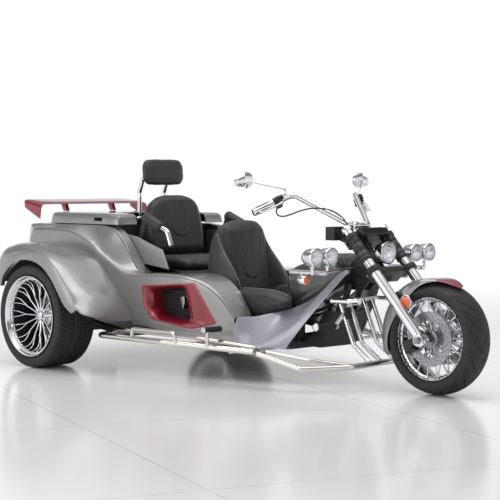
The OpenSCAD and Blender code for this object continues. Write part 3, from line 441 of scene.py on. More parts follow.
def rearTyreParts(side):
    # section of (y, radius); grooves and slanting cuts lower the tread's radius
    t = rearTyre
    edge = smoothCurve([[0.1185, t["bead"]], [0.1190, 0.251], [0.1290, 0.2545], [0.1385, 0.266], [0.1424, 0.284],
                        [0.1405, 0.301], [0.1330, 0.3125], [0.122, 0.3172]], 22)
    y = np.linspace(0.118, 0, 52)
    tread = np.stack([y, 0.3175 + 0.0035 * (1 - (y / 0.118)**2)], -1)
    half = np.concatenate([edge, tread])
    inner = np.array([[0, 0.308], [0.09, 0.306], [0.126, 0.296], [0.130, 0.275], [0.106, 0.258], [0.105, t["bead"]]])
    angle = np.linspace(0, 2 * math.pi, 384, endpoint=False)
    section = np.concatenate([half, half[-2::-1] * [-1, 1]])
    back = np.concatenate([inner[::-1][:-1] * [-1, 1], inner])
    y = section[:, 0]
    onTread = (section[:, 1] > 0.3165)[:, None]
    round_ = sum(band(np.abs(y) - g, t["grooveWide"], 0.002) for g in t["grooves"])[:, None] * onTread
    phase = (angle[None] * t["sipes"] / (2 * math.pi) + 14 * np.abs(y)[:, None] * np.sign(y)[:, None]) % 1
    outer = np.abs(y)[:, None] > 0.079
    cross_ = band(phase - 0.5, 0.045, 0.07) * (outer | ((np.abs(y)[:, None] < 0.063) & (np.abs(y)[:, None] > 0.032)))
    shoulder = ((section[:, 1] > 0.309) & (np.abs(y) > 0.1))[:, None]
    r = section[:, 1:] - np.maximum(t["grooveDeep"] * round_, 0.0042 * cross_ * (onTread | shoulder))
    y = np.broadcast_to(section[:, :1], r.shape)
    backY = np.broadcast_to(back[:, :1], (len(back), len(angle)))
    backR = np.broadcast_to(back[:, 1:], (len(back), len(angle)))
    r, y = np.concatenate([r, backR]), np.concatenate([y, backY])
    grid = np.stack([axleX + r * np.cos(angle), side * rearY + y, rearR + r * np.sin(angle)], -1)
    return [sheetOf(grid, closeRows=True, closeCols=True) + (0,)]


def frontTyreParts():
    # round section; long curved grooves sweep back from the middle to each shoulder
    t = frontTyre
    edge = smoothCurve([[0.0655, t["bead"]], [0.0660, 0.2245], [0.078, 0.2285], [0.0925, 0.240], [0.0995, 0.2560],
                        [0.0975, 0.2680], [0.0885, 0.2815]], 20)
    a = np.linspace(1.0, 0, 50)
    tread = np.stack([0.0885 * a, 0.3070 - 0.0255 * a**2.15], -1)[1:]
    half = np.concatenate([edge, tread])
    section = np.concatenate([half, half[-2::-1] * [-1, 1]])
    inner = np.array([[0, 0.292], [0.06, 0.284], [0.084, 0.262], [0.082, 0.245], [0.053, 0.236], [0.052, t["bead"]]])
    back = np.concatenate([inner[::-1][:-1] * [-1, 1], inner])
    angle = np.linspace(0, 2 * math.pi, 374, endpoint=False)
    y = section[:, :1]
    w = np.abs(y) / 0.0885
    shift = np.where(y > 0, 0.5, 0.0)
    phase = (angle[None] * t["sweeps"] / (2 * math.pi) - 1.05 * w**1.5 + shift) % 1
    long_ = band(phase - 0.5, 0.030, 0.03) * smoothStep((w - 0.05) / 0.06) * (1 - smoothStep((w - 0.86) / 0.1))
    phase2 = (angle[None] * t["sweeps"] / (2 * math.pi) - 0.75 * w**1.5 + shift + 0.5) % 1
    short = band(phase2 - 0.5, 0.022, 0.03) * smoothStep((w - 0.42) / 0.06) * (1 - smoothStep((w - 0.93) / 0.1))
    r = section[:, 1:] - t["grooveDeep"] * np.maximum(long_, short)
    y = np.broadcast_to(y, r.shape)
    r = np.concatenate([r, np.broadcast_to(back[:, 1:], (len(back), len(angle)))])
    y = np.concatenate([y, np.broadcast_to(back[:, :1], (len(back), len(angle)))])
    grid = np.stack([wheelX + r * np.cos(angle), y, frontR + r * np.sin(angle)], -1)
    return [sheetOf(grid, closeRows=True, closeCols=True) + (0,)]


rearRim = {"spokes": 15, "hubY": 0.0505, "lugs": 5, "lugRing": 0.040}


def rearRimParts(side):
    # drawn with its outer face towards +y from the wheel's middle, then turned to its side
    lip = [(-0.1245, 0.2495), (-0.119, 0.2495), (-0.1185, 0.2288), (0.1185, 0.2288), (0.119, 0.2495), (0.1405, 0.2500),
           (0.1424, 0.2485), (0.1424, 0.2455), (0.1395, 0.2425), (0.1275, 0.2375), (0.1160, 0.2325), (0.1120, 0.2262),
           (0.1050, 0.2235), (0.0600, 0.2205), (-0.1245, 0.2205)]
    parts = [lathe(lip, sides=128, closed=True) + (0,)]
    for i in range(rearRim["spokes"]):
        turn = 2 * math.pi * i / rearRim["spokes"]

        def arm(points, radius):
            p = np.array(points, float)      # (radius from the axle, sideways angle, y)
            path = np.stack([p[:, 0] * np.cos(turn + p[:, 1]), p[:, 2], p[:, 0] * np.sin(turn + p[:, 1])], -1)
            return tube(smoothCurve(path, 14), np.interp(np.linspace(0, 1, 14), [0, 0.5, 1], radius), 10, 0.8, (0, 1, 0)) + (0,)

        parts.append(arm([[0.036, 0, 0.046], [0.080, 0, 0.052], [0.132, 0, 0.064]], [0.0085, 0.0064, 0.0058]))
        for s in (-1, 1):
            parts.append(arm([[0.120, 0, 0.060], [0.160, s * 0.034, 0.064], [0.204, s * 0.080, 0.078], [0.2240, s * 0.096, 0.112]],
                             [0.0054, 0.0048, 0.0066]))
    hub = [(-0.0395, 0.0), (-0.0395, 0.072), (0.018, 0.072), (0.030, 0.058), (0.044, 0.052), (0.0505, 0.046),
           (0.0505, 0.030), (0.058, 0.028), (0.0625, 0.022), (0.064, 0.0)]
    parts.append(lathe(hub, sides=64) + (0,))
    for i in range(rearRim["lugs"]):
        a = 2 * math.pi * i / rearRim["lugs"] + 0.3
        at = (rearRim["lugRing"] * math.cos(a), 0, rearRim["lugRing"] * math.sin(a))
        parts.append(lathe([(0.050, 0.0), (0.050, 0.0058), (0.0565, 0.0058), (0.0575, 0.0045), (0.0575, 0.0)], at, sides=6) + (1,))
    out = []
    for p in parts:
        q = p[0] if side > 0 else p[0] * [-1, -1, 1]
        out.append((q + [axleX, side * rearY, rearR], p[1], p[2]))
    return out


def rearBarrelParts(side):
    # black inside of the rim, seen between the spokes
    wallIn = [(-0.123, 0.2200), (0.062, 0.2200), (0.100, 0.2228), (0.100, 0.2215), (0.060, 0.2186), (-0.123, 0.2186)]
    part = lathe(wallIn, sides=96, closed=True)
    q = part[0] if side > 0 else part[0] * [-1, -1, 1]
    return [(q + [axleX, side * rearY, rearR], part[1], 0)]


def discParts(centre, inner, outer, y0, y1, slots):
    # flat ring with chamfered edges and slanting grooves on both faces
    c = 0.0008
    ring = [(y0 + c, outer), (y0, outer - c)] + [(y0, r) for r in np.linspace(outer - 2 * c, inner + 2 * c, 22)]
    ring += [(y0, inner + c), (y0 + c, inner), (y1 - c, inner), (y1, inner + c)]
    ring += [(y1, r) for r in np.linspace(inner + 2 * c, outer - 2 * c, 22)] + [(y1, outer - c), (y1 - c, outer)]
    points, faces = lathe(ring, centre, sides=240, closed=True)
    local = points - np.array(centre)
    r = np.hypot(local[:, 0], local[:, 2])
    phase = (np.arctan2(local[:, 2], local[:, 0]) * slots / (2 * math.pi) + (r - inner) * slots * 2.2) % 1
    cut = band(phase - 0.5, 0.07, 0.06) * band(r - (inner + outer) / 2, (outer - inner) * 0.36, 0.006)
    middle = (y0 + y1) / 2
    points[:, 1] -= np.sign(local[:, 1] - middle) * cut * 0.0013
    return points, faces, 0


for side, word in ((-1, "right"), (1, "left")):
    body = f"rear_wheel_{word}"
    tag = word.capitalize()
    addPiece(f"rearTyre{tag}", rearTyreParts(side), tyreRubber, body, [f"rear_tyre_{word}"], sharp=32)
    addPiece(f"rearRim{tag}", rearRimParts(side), [chromePlate, satinSteel], body, [f"rear_rim_{word}"])
    addPiece(f"rearBarrel{tag}", rearBarrelParts(side), powderBlackAndHoleShade, body)
    low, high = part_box(f"rear_disc_{word}")
    addPiece(f"rearDisc{tag}", [discParts((axleX, 0, rearR), 0.034, 0.140, low.y, high.y, 24)], discSteel, body,
             [f"rear_disc_{word}"])
addPiece("frontTyre", frontTyreParts(), tyreRubber, "front_wheel", ["front_tyre"], sharp=32)

frontRim = {"spokes": 18, "half": 0.075}


def frontRimParts():
    h = frontRim["half"]
    seat = [(-h, 0.2240), (-h + 0.0080, 0.2240), (-h + 0.0098, 0.2148), (h - 0.0098, 0.2148), (h - 0.0080, 0.2240), (h, 0.2240),
            (h, 0.2215), (h - 0.006, 0.2185), (h - 0.014, 0.2145), (h - 0.017, 0.2070), (h - 0.030, 0.2050), (0.020, 0.1985),
            (-0.020, 0.1985), (-h + 0.030, 0.2050), (-h + 0.017, 0.2070), (-h + 0.014, 0.2145), (-h + 0.006, 0.2185),
            (-h, 0.2215)]
    parts = [lathe(seat, sides=128, closed=True) + (0,)]
    for i in range(frontRim["spokes"]):
        for s in (-1, 1):
            turn = 2 * math.pi * i / frontRim["spokes"]
            p = np.array([[0.038, s * 0.044], [0.11, s * 0.053], [0.170, s * 0.052], [0.2040, s * 0.046]])
            path = np.stack([p[:, 0] * math.cos(turn), p[:, 1], p[:, 0] * math.sin(turn)], -1)
            parts.append(tube(smoothCurve(path, 10), [0.0075] + [0.0056] * 8 + [0.0080], 10, 0.8, (0, 1, 0)) + (0,))
    hub = [(-0.0615, 0.0128), (-0.0615, 0.040), (-0.048, 0.046), (-0.03, 0.043), (0, 0.036), (0.03, 0.043), (0.048, 0.046),
           (0.0615, 0.040), (0.0615, 0.0128)]
    parts.append(lathe(hub, sides=64, closed=True) + (1,))
    return [moved(p, (wheelX, 0, frontR)) for p in parts]


addPiece("frontRim", frontRimParts(), [chromePlate, satinSteel], "front_wheel", ["front_rim"])


def frontDiscParts():
    parts = []
    for s in (-1, 1):
        y0, y1 = sorted((s * 0.072, s * 0.077))
        parts.append(discParts((wheelX, 0, frontR), 0.098, 0.150, y0, y1, 30))
        ring = []
        for i in range(10):      # carrier arms and the pins that hold the ring
            a = 2 * math.pi * i / 10
            d = np.array([math.cos(a), 0, math.sin(a)])
            e = np.array([math.cos(a + 0.16), 0, math.sin(a + 0.16)])
            mid = np.array([0, s * 0.0755, 0])
            ring.append(tube(smoothCurve([mid + d * 0.046, mid + d * 0.075, mid + e * 0.103], 8), [0.0075, 0.0065, 0.006, 0.0055, 0.0055, 0.006, 0.0065, 0.007], 10, 0.42, (0, 1, 0)) + (1,))
            ring.append(lathe([(s * 0.0715, 0), (s * 0.0715, 0.0075), (s * 0.0790, 0.0075), (s * 0.0800, 0.006), (s * 0.0800, 0)], e * 0.103, sides=14) + (1,))
        ring.append(lathe([(s * 0.062, 0.0128), (s * 0.062, 0.044), (s * 0.066, 0.050), (s * 0.077, 0.052), (s * 0.079, 0.048), (s * 0.079, 0.0128)], sides=48, closed=True) + (1,))
        for i in range(60):      # black dots in three staggered rings stand for the drilled holes: painted shade inside the holes
            a = 2 * math.pi * (i + 0.33 * (i % 3)) / 60
            r = 0.110 + 0.0135 * (i % 3)
            ring.append(lathe([(s * 0.0764, 0), (s * 0.0764, 0.0036), (s * 0.0772, 0.0036), (s * 0.0772, 0)],
                              (r * math.cos(a), 0, r * math.sin(a)), sides=10) + (2,))
        for i in range(6):
            a = 2 * math.pi * i / 6
            ring.append(lathe([(s * 0.078, 0), (s * 0.078, 0.005), (s * 0.084, 0.005), (s * 0.084, 0)], (0.036 * math.cos(a), 0, 0.036 * math.sin(a)), sides=6) + (1,))
        parts += [moved(p, (wheelX, 0, frontR)) for p in ring]
    return parts


addPiece("frontDiscs", frontDiscParts(), [discSteel, satinSteel, powderBlackAndHoleShade], "front_wheel", ["front_discs"])
print("wheels made")


# ---- body ----

# keyed rows from the tail forwards, in millimetres:
# shoulder x and z, deck x and z, half width, height of the lower edge, how far the corners curve forwards
bodyRows = [
    (-598, 502, -598, 502, 548, 497, 1), (-640, 600, -645, 600, 552, 499, 1), (-645, 728, -646, 758, 556, 500, 1),
    (-618, 826, -632, 862, 559, 500, 1), (-548, 856, -572, 879, 560, 500, 0.85), (-400, 861, -420, 880, 560, 500, 0.4),
    (-214, 861, -214, 880, 560, 498, 0.1), (-37, 849, -37, 880, 560, 480, 0), (118, 800, 118, 879, 560, 462, 0),
    (200, 757, 208, 874, 560, 450, 0), (252, 721, 300, 849, 560, 440, 0), (384, 654, 403, 754, 560, 410, 0),
    (470, 615, 483, 656, 560, 330, 0), (540, 598, 552, 606, 560, 291, 0), (640, 598, 640, 599, 560, 281, 0),
    (800, 606, 800, 606, 560, 266, 0), (950, 607, 950, 608, 559, 252, 0), (1060, 598, 1060, 600, 552, 241, 0),
    (1150, 572, 1150, 573, 520, 233, 0), (1230, 515, 1230, 516, 482, 225, 0), (1290, 446, 1290, 447, 454, 220, 0),
    (1339.5, 371, 1339.5, 371, 430, 216, 0)]


def bodyGrid():
    # each row runs from the middle of the deck over the seam and shoulder and down the side
    keys = np.array(bodyRows, float)
    u = np.linspace(0, len(keys) - 1, 150)
    slopes = np.gradient(keys, axis=0)
    k = np.minimum(u.astype(int), len(keys) - 2)
    f = (u - k)[:, None]
    rows = (keys[k] * (2 * f**3 - 3 * f**2 + 1) + slopes[k] * (f**3 - 2 * f**2 + f)
            + keys[k + 1] * (3 * f**2 - 2 * f**3) + slopes[k + 1] * (f**3 - f**2))
    xs, zs, xd, zd, wide, low, corner = rows.T
    fit = wide / 560
    step = np.clip((zd - zs - 3) / 14, 0, 1)         # the seam fades where deck and shoulder meet
    cols = []
    for y in (0, 90, 180, 270, 340, 400, 440, 462):
        cols.append((xd, y * fit, zd))
    for y, drop in ((467, 1.5), (469.5, 10), (474, 11)):
        cols.append((xd, y * fit, zd - drop * step))
    reach = np.minimum(26, np.maximum(zs - low, 2) * 0.4)
    for f in np.linspace(0, 1, 9):
        x = xd + (xs - xd) * f
        hollow = 1 - (1 - f)**1.25                   # the slope down to the shoulder is slightly hollow
        cols.append((x, (476 + (534 - 476) * f) * fit, (zd - 2.5 * step) + (zs - zd + 2.5 * step) * hollow))
    for a in np.linspace(15, 90, 6):
        s, c = math.sin(math.radians(a)), math.cos(math.radians(a))
        cols.append((xs, (534 + 26 * s) * fit, zs - reach * (1 - c)))
    for f in np.linspace(0.08, 1, 14):
        z = (zs - reach) + (low + 16 - zs + reach) * f
        bulge = 1.5 * np.sin(math.pi * f)
        cols.append((xs, wide + bulge - 6 * f**3, np.maximum(z, low)))
    for dy, dz in ((11, 7), (20, 2), (34, 0), (52, 0)):
        cols.append((xs, wide - dy, low + dz))
    half = np.array([np.stack(np.broadcast_arrays(*c), -1) for c in cols]).transpose(1, 0, 2)
    y = half[:, :, 1]
    half[:, :, 0] += corner[:, None] * 150 * np.clip((y - 390) / 170, 0, 1)**2
    return mm(np.concatenate([(half * [1, -1, 1])[:, :0:-1], half], axis=1))


intake = [[668, 528], [1110, 562], [1232, 330], [1090, 296], [760, 330], [690, 400]]
driverWell = [[846, 700], [1300, 700], [1360, 500], [1360, 340], [1250, 340], [1020, 400], [846, 560]]
wells = [inMm(block([-560, -400, 800], [40, 400, 1000])), inMm(block([196, -400, 597], [846.5, 400, 1100])),
         inMm(prism(driverWell, -290, 290)), inMm(prism(intake, 440, 700)), inMm(prism(intake, -700, -440))]
addPiece("bodyShell", [sheetOf(bodyGrid()) + (0,)], greyPaint, "chassis", ["rear_body"], wall=0.007,
         cuts=wells, bevel=0.0012, segments=2)

fender = {"valley": [[-432, 505], [-440, 640], [-405, 738], [-290, 768], [-160, 772], [15, 752], [130, 716], [236, 676], [384, 553],
                     [497, 437], [545, 350], [560, 309]],
          "crest": [[-352, 500], [-330, 585], [-255, 652], [-155, 700], [-30, 725], [60, 728], [127, 722], [229, 676], [312, 590],
                    [394, 494], [443, 432], [500, 396]],
          "arch": [[-288, 497], [-272, 545], [-235, 590], [-173, 635], [-66, 669], [0, 671], [57, 665], [160, 628], [245, 561],
                   [311, 484], [377, 408], [443, 367]]}


def fenderGrid():
    # from the valley beside the body, out over the crown, then down a flared band to the arch
    n = 96
    v, c, a = (smoothCurve(fender[k], n) for k in ("valley", "crest", "arch"))
    rows = []
    for f in np.linspace(0, math.pi / 2, 20):
        out, drop = math.sin(f)**(2 / 2.5), 1 - math.cos(f)**(2 / 2.2)
        p = v + (c - v) * drop
        rise = 10 * math.sin(2 * f)**2
        rows.append(np.stack([p[:, 0], np.full(n, 545 + (919 - 545) * out), p[:, 1] + rise], -1))
    for f in np.linspace(0.06, 1, 9):
        p = c + (a - c) * f
        rows.append(np.stack([p[:, 0], np.full(n, 919 + 9.5 * math.sin(f * math.pi * 0.62)), p[:, 1]], -1))
    for dy in (6, 26):
        rows.append(np.stack([a[:, 0], np.full(n, 925.0 - dy), a[:, 1]], -1))
    return mm(np.array(rows))


for side, word in ((1, "Left"), (-1, "Right")):
    part = sheetOf(fenderGrid() * [1, side, 1]) + (0,)
    addPiece(f"rearFender{word}", [part], greyPaint, "chassis", wall=0.006, bevel=0.001)

# dark linings of the two seat wells and the luggage space
lining = [inMm(prism([[188, 606], [188, 872], [205, 868], [298, 843], [400, 748], [480, 650], [560, 602], [845, 602], [845, 606]], -400, -393)),
          inMm(block([188, -400, 598], [196, 400, 874])), inMm(block([188, -400, 597], [846, 400, 605])),
          inMm(prism([[846, 602], [1000, 603], [1100, 586], [1180, 551], [1260, 480], [1330, 385], [1330, 340], [1250, 340], [1020, 400], [846, 560]], -290, -283)),
          inMm(prism([[846, 560], [1020, 400], [1250, 340], [1332, 340], [1332, 334], [1249, 334], [1016, 394], [840, 555]], -290, 290))]
lining += [flipped(lining[0]), flipped(lining[3])]
addPiece("seatWells", lining, mouldedBlack, "chassis", bevel=0.0015)
tray = [inMm(block([-600, -520, 632], [188, 520, 640])), inMm(block([-566, -406, 640], [-560, 406, 873])),
        inMm(block([40, -406, 640], [46, 406, 873])), inMm(block([-560, -406, 640], [40, -400, 873])),
        inMm(block([-560, 400, 640], [40, 406, 873]))]
addPiece("luggageTray", tray, carpet, "chassis", bevel=0.002)
shelf = [inMm(prism([[66, 873], [66, 908], [72, 918], [190, 920], [196, 914], [196, 873]], -270, 270))]
addPiece("rearShelf", shelf, mouldedBlack, "chassis", bevel=0.006, segments=3)


def hingeParts():
    parts = []
    for y in (140, 192):
        parts.append(inMm(prism([[-642, 800], [-640, 850], [-625, 893], [-622, 901], [-610, 901], [-607, 893], [-607, 876], [-607, 840]], y, y + 8)))
    parts.append(inMm(lathe([(144, 0), (144, 5), (196, 5), (196, 0)], (-616, 0, 893), sides=24)))
    return bothSides([p + (0,) for p in parts])


addPiece("lidHinges", hingeParts(), satinSteel, "chassis", bevel=0.0008)

frameRed = {"inner": [[716, 500], [960, 524], [1000, 518], [1046, 352], [1020, 334], [795, 354], [734, 405]]}


sideRows = np.array(bodyRows, float)[5:]


def intakeParts():
    # a raised lip round the opening and walls that slope inwards; the dark back with slats is made in intakeBackParts
    parts = []
    outer = np.array(rounded([[p[0], 0, p[1]] for p in (intake + intake[:2])], 12, 7))[1:-1, [0, 2]]
    centre = outer.mean(0)
    n = 96

    def loop(points, shrink=0.0):
        p = np.asarray(points, float)
        p = p + (centre - p) * shrink
        d = np.concatenate([[0], np.cumsum(np.linalg.norm(np.diff(np.vstack([p, p[:1]]), axis=0), axis=1))])
        q = np.vstack([p, p[:1]])
        s = np.linspace(0, d[-1], n, endpoint=False)
        return np.stack([np.interp(s, d, q[:, i]) for i in (0, 1)], -1)

    def clean(points):
        p = loop(points)
        start = np.argmin(p[:, 0] + p[:, 1])
        return np.roll(p, -start, axis=0)

    ins = np.array(rounded([[p[0], 0, p[1]] for p in (frameRed["inner"] + frameRed["inner"][:2])], 18, 7))[1:-1, [0, 2]]
    a, b = clean(outer), clean(ins)
    stack = []
    for mixing, y in ((-0.05, 559.8), (-0.06, 562), (-0.03, 564.5), (0.06, 565.5), (0.2, 565), (0.32, 561), (0.6, 542), (0.9, 518),
                      (1.0, 505), (1.02, 480), (1.03, 448)):
        p = a + (b - a) * mixing
        skin = np.interp(p[:, 0], sideRows[:, 0], sideRows[:, 4])      # half width of the body there
        share = 1 - smoothStep((mixing - 0.3) / 0.7)
        stack.append(np.stack([p[:, 0], y - (560 - skin) * share, p[:, 1]], -1))
    parts.append(inMm(sheetOf(np.array(stack), closeCols=True)) + (0,))
    return parts


def intakeBackParts():
    parts = [inMm(prism([[690, 330], [700, 540], [1120, 560], [1200, 340], [1100, 300], [760, 320]], 438, 446)) + (0,)]
    for z in np.linspace(372, 500, 6):
        parts.append(inMm(prism([[745, z], [1105, z + 6], [1105, z + 12], [745, z + 5]], 446, 470)) + (0,))
    parts.append(inMm(prism([[938, 470], [972, 476], [978, 440], [960, 396]], 446, 492)) + (1,))
    return parts


addPiece("intakeFrames", bothSides(intakeParts()), redPaint, "chassis", ["intake_frames"], wall=0.003)
addPiece("intakeBacks", bothSides(intakeBackParts()), [mouldedBlack, satinSteel], "chassis", bevel=0.001)

sidePanel = rounded([[197, 0, 606], [197, 0, 846], [420, 0, 812], [660, 0, 738], [727, 0, 606]], 26, 8)[:, [0, 2]]
addPiece("seatSidePanels", bothSides([inMm(prism(sidePanel, 385.5, 396.5)) + (0,)]), greyPaint, "chassis",
         ["seat_side_panels"], bevel=0.0045, segments=4)


def nosePart():
    # straight lines from the lower edge to the seam beside the cowl, bowed slightly outwards
    low = smoothCurve([[1341, 429, 217], [1450, 385, 213], [1560, 341, 209], [1642, 308, 208]], 40)
    top = smoothCurve([[1341, 408, 368], [1400, 338, 366], [1470, 262, 386], [1562, 188, 414], [1757, 152, 510], [1900, 151, 622],
                       [1980, 151, 649]], 40)
    f = np.linspace(0, 1, 24)[:, None, None]
    grid = low[None] + (top - low)[None] * f
    grid[:, :, 1] += 14 * np.sin(math.pi * f[:, :, 0])
    lipTop = top * [1, 0, 1] + [0, 149.5, -9]
    lipLow = low - [0, 30, -1]
    return inMm(sheetOf(np.concatenate([lipLow[None], grid, lipTop[None]]))) + (0,)


# nose panels in a paler, bluer copy of the body paint: painted light
addPiece("nosePanels", bothSides([nosePart()]), greyPaintPaintedLighter, "chassis", ["nose_panels"], wall=0.006,
         bevel=0.0012)


def cowlPart():
    # rounded sections along x between a top line and a bottom line
    top = smoothCurve([[1450, 560], [1462, 640], [1510, 668], [1600, 694], [1700, 722], [1795, 746], [1842, 736], [1880, 692],
                       [1920, 642]], 60)
    low = smoothCurve([[1478, 406], [1500, 402], [1540, 402], [1640, 448], [1757, 508], [1840, 572], [1880, 608], [1905, 628],
                       [1921, 639]], 60)
    half = np.interp(np.linspace(0, 1, 60), [0, 0.04, 0.14, 0.5, 0.85, 1], [84, 112, 140, 147, 146, 120])
    t = np.linspace(0, 2 * math.pi, 56, endpoint=False)
    flat = np.sign(np.cos(t)) * np.abs(np.cos(t))**0.5
    tall = np.sign(np.sin(t)) * np.abs(np.sin(t))**0.62
    middle = (top + low) / 2
    along = (top - low) / 2
    grid = np.stack([middle[:, None, 0] + along[:, None, 0] * tall, half[:, None] * flat,
                     middle[:, None, 1] + along[:, None, 1] * tall], -1)
    return inMm(sheetOf(grid, closeCols=True, caps=True)) + (0,)


addPiece("tankCowl", [cowlPart()], darkPaint, "chassis", ["tank_cover"], sharp=60)
print("body made")


# ---- lid and spoiler ----

lid = {"outline": [[-594, 0], [-588, 130], [-566, 250], [-500, 372], [-420, 434], [-330, 448], [-150, 449.5], [100, 449.5], [270, 449.5],
                   [293, 444], [295, 420], [295, 300], [295, 150], [295, 0]]}


def lidPart():
    right = smoothCurve(lid["outline"], 90)
    ring = np.concatenate([right, right[-2:0:-1] * [1, -1]])
    centre = np.array([-150.0, 0.0])
    stack = []
    for inward, z in ((0.0, 885.5), (0.006, 905), (0.014, 925), (0.024, 940), (0.040, 949), (0.062, 953.5), (0.10, 955),
                      (0.25, 955.6), (0.5, 955.9), (0.75, 956), (0.97, 956)):
        p = ring + (centre - ring) * inward
        stack.append(np.stack([p[:, 0], p[:, 1], np.full(len(p), float(z))], -1))
    grid = np.array(stack)
    # the top falls gently towards the front
    grid[:, :, 2] -= np.clip((grid[:, :, 0] - 20) / 275, 0, 1)**2 * 8 * np.clip((grid[:, :, 2] - 886) / 60, 0, 1)
    points, faces = sheetOf(grid, closeCols=True)
    last = len(stack) - 1
    n = len(ring)
    faces.append([last * n + i for i in range(n)])
    return inMm((points, faces)) + (0,)


lidCuts = [inMm(prism([[54, 860], [54, 990], [330, 990], [330, 860]], -293, 293))]
lidCuts += [inMm(prism([[48, 906], [52, 928], [138, 926], [132, 904]], s * 430 - 30, s * 430 + 30)) for s in (-1, 1)]
addPiece("luggageLid", [lidPart()], greyPaint, "lid", ["luggage_lid"], wall=0.006, cuts=lidCuts,
         bevel=0.0015, segments=3)


def ventParts():
    parts = [inMm(prism([[34, 900], [40, 934], [156, 932], [148, 898]], 424, 428)) + (0,)]
    for i in range(5):
        x = 50 + i * 22
        parts.append(inMm(prism([[x, 903], [x + 3, 930], [x + 8, 930], [x + 5, 903]], 428, 443)) + (0,))
    return bothSides(parts)


addPiece("lidVents", ventParts(), mouldedBlack, "lid")
barrels = [inMm(lathe([(150, 0), (150, 10.5), (190, 10.5), (190, 0)], (-616, 0, 893), sides=32)) + (0,),
           inMm(block([-616, 152, 886], [-588, 188, 895])) + (0,)]
addPiece("lidBarrels", bothSides(barrels), satinSteel, "lid", bevel=0.0008)


def spoilerPart():
    # a thin wing section carried across, turning down at each end into a swept end plate
    stations = [(0, 0.0), (150, 0.0), (300, 0.0), (400, 0.0), (430, 0.02), (446, 0.08), (454, 0.2), (457, 0.4), (458, 0.7), (459, 1.0)]
    t = np.linspace(0, 2 * math.pi, 32, endpoint=False)
    rows = []
    for y, f in stations:
        lead = np.array([-499, 1007]) + f * np.array([-16, -99])
        tail = np.array([-699, 1036]) + f * np.array([8, -51])
        middle, half = (lead + tail) / 2, (lead - tail) / 2
        n = np.array([-half[1], half[0]]) / np.linalg.norm(half)
        thick = 9 - 3 * f
        c, s = np.cos(t), np.sin(t)
        flat = middle + half * c[:, None] + n * (thick * s * (0.55 + 0.45 * c) * (1 - f))[:, None]
        rows.append(np.stack([flat[:, 0], y - thick * 0.75 * f * (1 - s), flat[:, 1] - (4 if f < 0.1 else 0) * 0], -1))
    right = np.array(rows)
    whole = np.concatenate([right[:0:-1] * [1, -1, 1], right])
    return inMm(sheetOf(whole, closeCols=True, caps=True)) + (0,)


pylons = [inMm(prism([[-541, 956.6], [-591, 956.6], [-622, 1011], [-563, 1006]], 188, 212)) + (0,)]
addPiece("spoilerBlade", [spoilerPart()], redPaint, "lid", ["spoiler"], sharp=50)
addPiece("spoilerPosts", bothSides(pylons), redPaint, "lid", bevel=0.006, segments=4)
print("lid and spoiler made")


# ---- seats ----

def interpAt(x, table):
    t = np.asarray(table, float)
    return np.interp(x, t[:, 0], t[:, 1])


def padRing(spec):
    o = smoothCurve(spec["outline"], 80)
    if abs(o[-1][0]) < 1e-6:
        return np.concatenate([o, o[-2:0:-1] * [-1, 1]])
    return np.concatenate([o, o[::-1] * [-1, 1]])


def padHeight(spec, a, b, rho, front):
    # a superellipse edge between the front and back surfaces; rho is the share of the way to the outline
    edge = np.power(np.clip(1 - rho**spec.get("square", 7), 0, 1), 1 / 2.1)
    high, low = spec["front"](a, b), spec["back"](a, b)
    middle = low + (high - low) * spec.get("rim", 0.5)
    return np.where(front, middle + (high - middle) * edge, middle + (low - middle) * edge)


def padOf(spec):
    # rings from the middle of the outline to its edge and back: the front stands above the plane, the back below it
    ring = padRing(spec)
    c = np.array([0.0, spec["middle"]])
    rho = np.concatenate([np.linspace(0.02, 0.86, 46), np.linspace(0.875, 0.995, 12)])
    rho = np.concatenate([rho, [1.0], rho[::-1]])
    front = np.arange(len(rho)) <= len(rho) // 2
    ab = c + (ring - c)[None] * rho[:, None, None]
    n = padHeight(spec, ab[..., 0], ab[..., 1], rho[:, None], front[:, None])
    grid = padPoint(spec, ab[..., 0], ab[..., 1], n)
    return inMm(sheetOf(grid, closeCols=True, caps=True)) + (0,)


def padPoint(spec, a, b, n):
    origin, up = np.array(spec["origin"], float), unit(np.array(spec["up"], float))
    out = np.cross([0, 1.0, 0], up) * spec.get("out", 1)
    return (origin + np.asarray(a)[..., None] * np.array([0, 1.0, 0]) + np.asarray(b)[..., None] * up
            + np.asarray(n)[..., None] * out)


def seamLine(spec, points, lift=0.6, count=90):
    # a line over the pad's front surface, found by each point's share of the way to the outline
    p = smoothCurve(points, count)
    ring = padRing(spec) - [0, spec["middle"]]
    turn = np.arctan2(ring[:, 1], ring[:, 0])
    order = np.argsort(turn)
    q = p - [0, spec["middle"]]
    reach = np.interp(np.arctan2(q[:, 1], q[:, 0]), turn[order], np.linalg.norm(ring, axis=1)[order], period=2 * math.pi)
    rho = np.clip(np.linalg.norm(q, axis=1) / reach, 0, 1)
    return mm(padPoint(spec, p[:, 0], p[:, 1], padHeight(spec, p[:, 0], p[:, 1], rho, True) + lift))


def stitches(path, every=0.011, length=0.007, radius=0.0008):
    d = np.concatenate([[0], np.cumsum(np.linalg.norm(np.diff(path, axis=0), axis=1))])
    parts = []
    for s in np.arange(every, d[-1] - every, every):
        q = np.stack([np.interp([s, s + length / 2, s + length], d, path[:, i]) for i in range(3)], -1)
        parts.append(tube(q, [radius * 0.6, radius, radius * 0.6], 5) + (0,))
    return parts


def mirrored(points):
    return [[-p[0], p[1]] for p in points]


def groove(distance, wide, deep):
    return deep * np.exp(-(distance / wide)**2)


# edges of the sewn centre panels, closed at the bottom of the back
backPanel = [[0, 128], [34, 133], [58, 154], [69, 200], [79, 290], [91, 400], [97, 452]]
seatPanel = [[70, 20], [100, 80], [106, 180], [96, 270], [62, 330], [0, 350]]


def panelDistance(a, b, panel):
    p = np.asarray(panel, float)
    return np.abs(a) - np.interp(b, p[:, 1], p[:, 0])


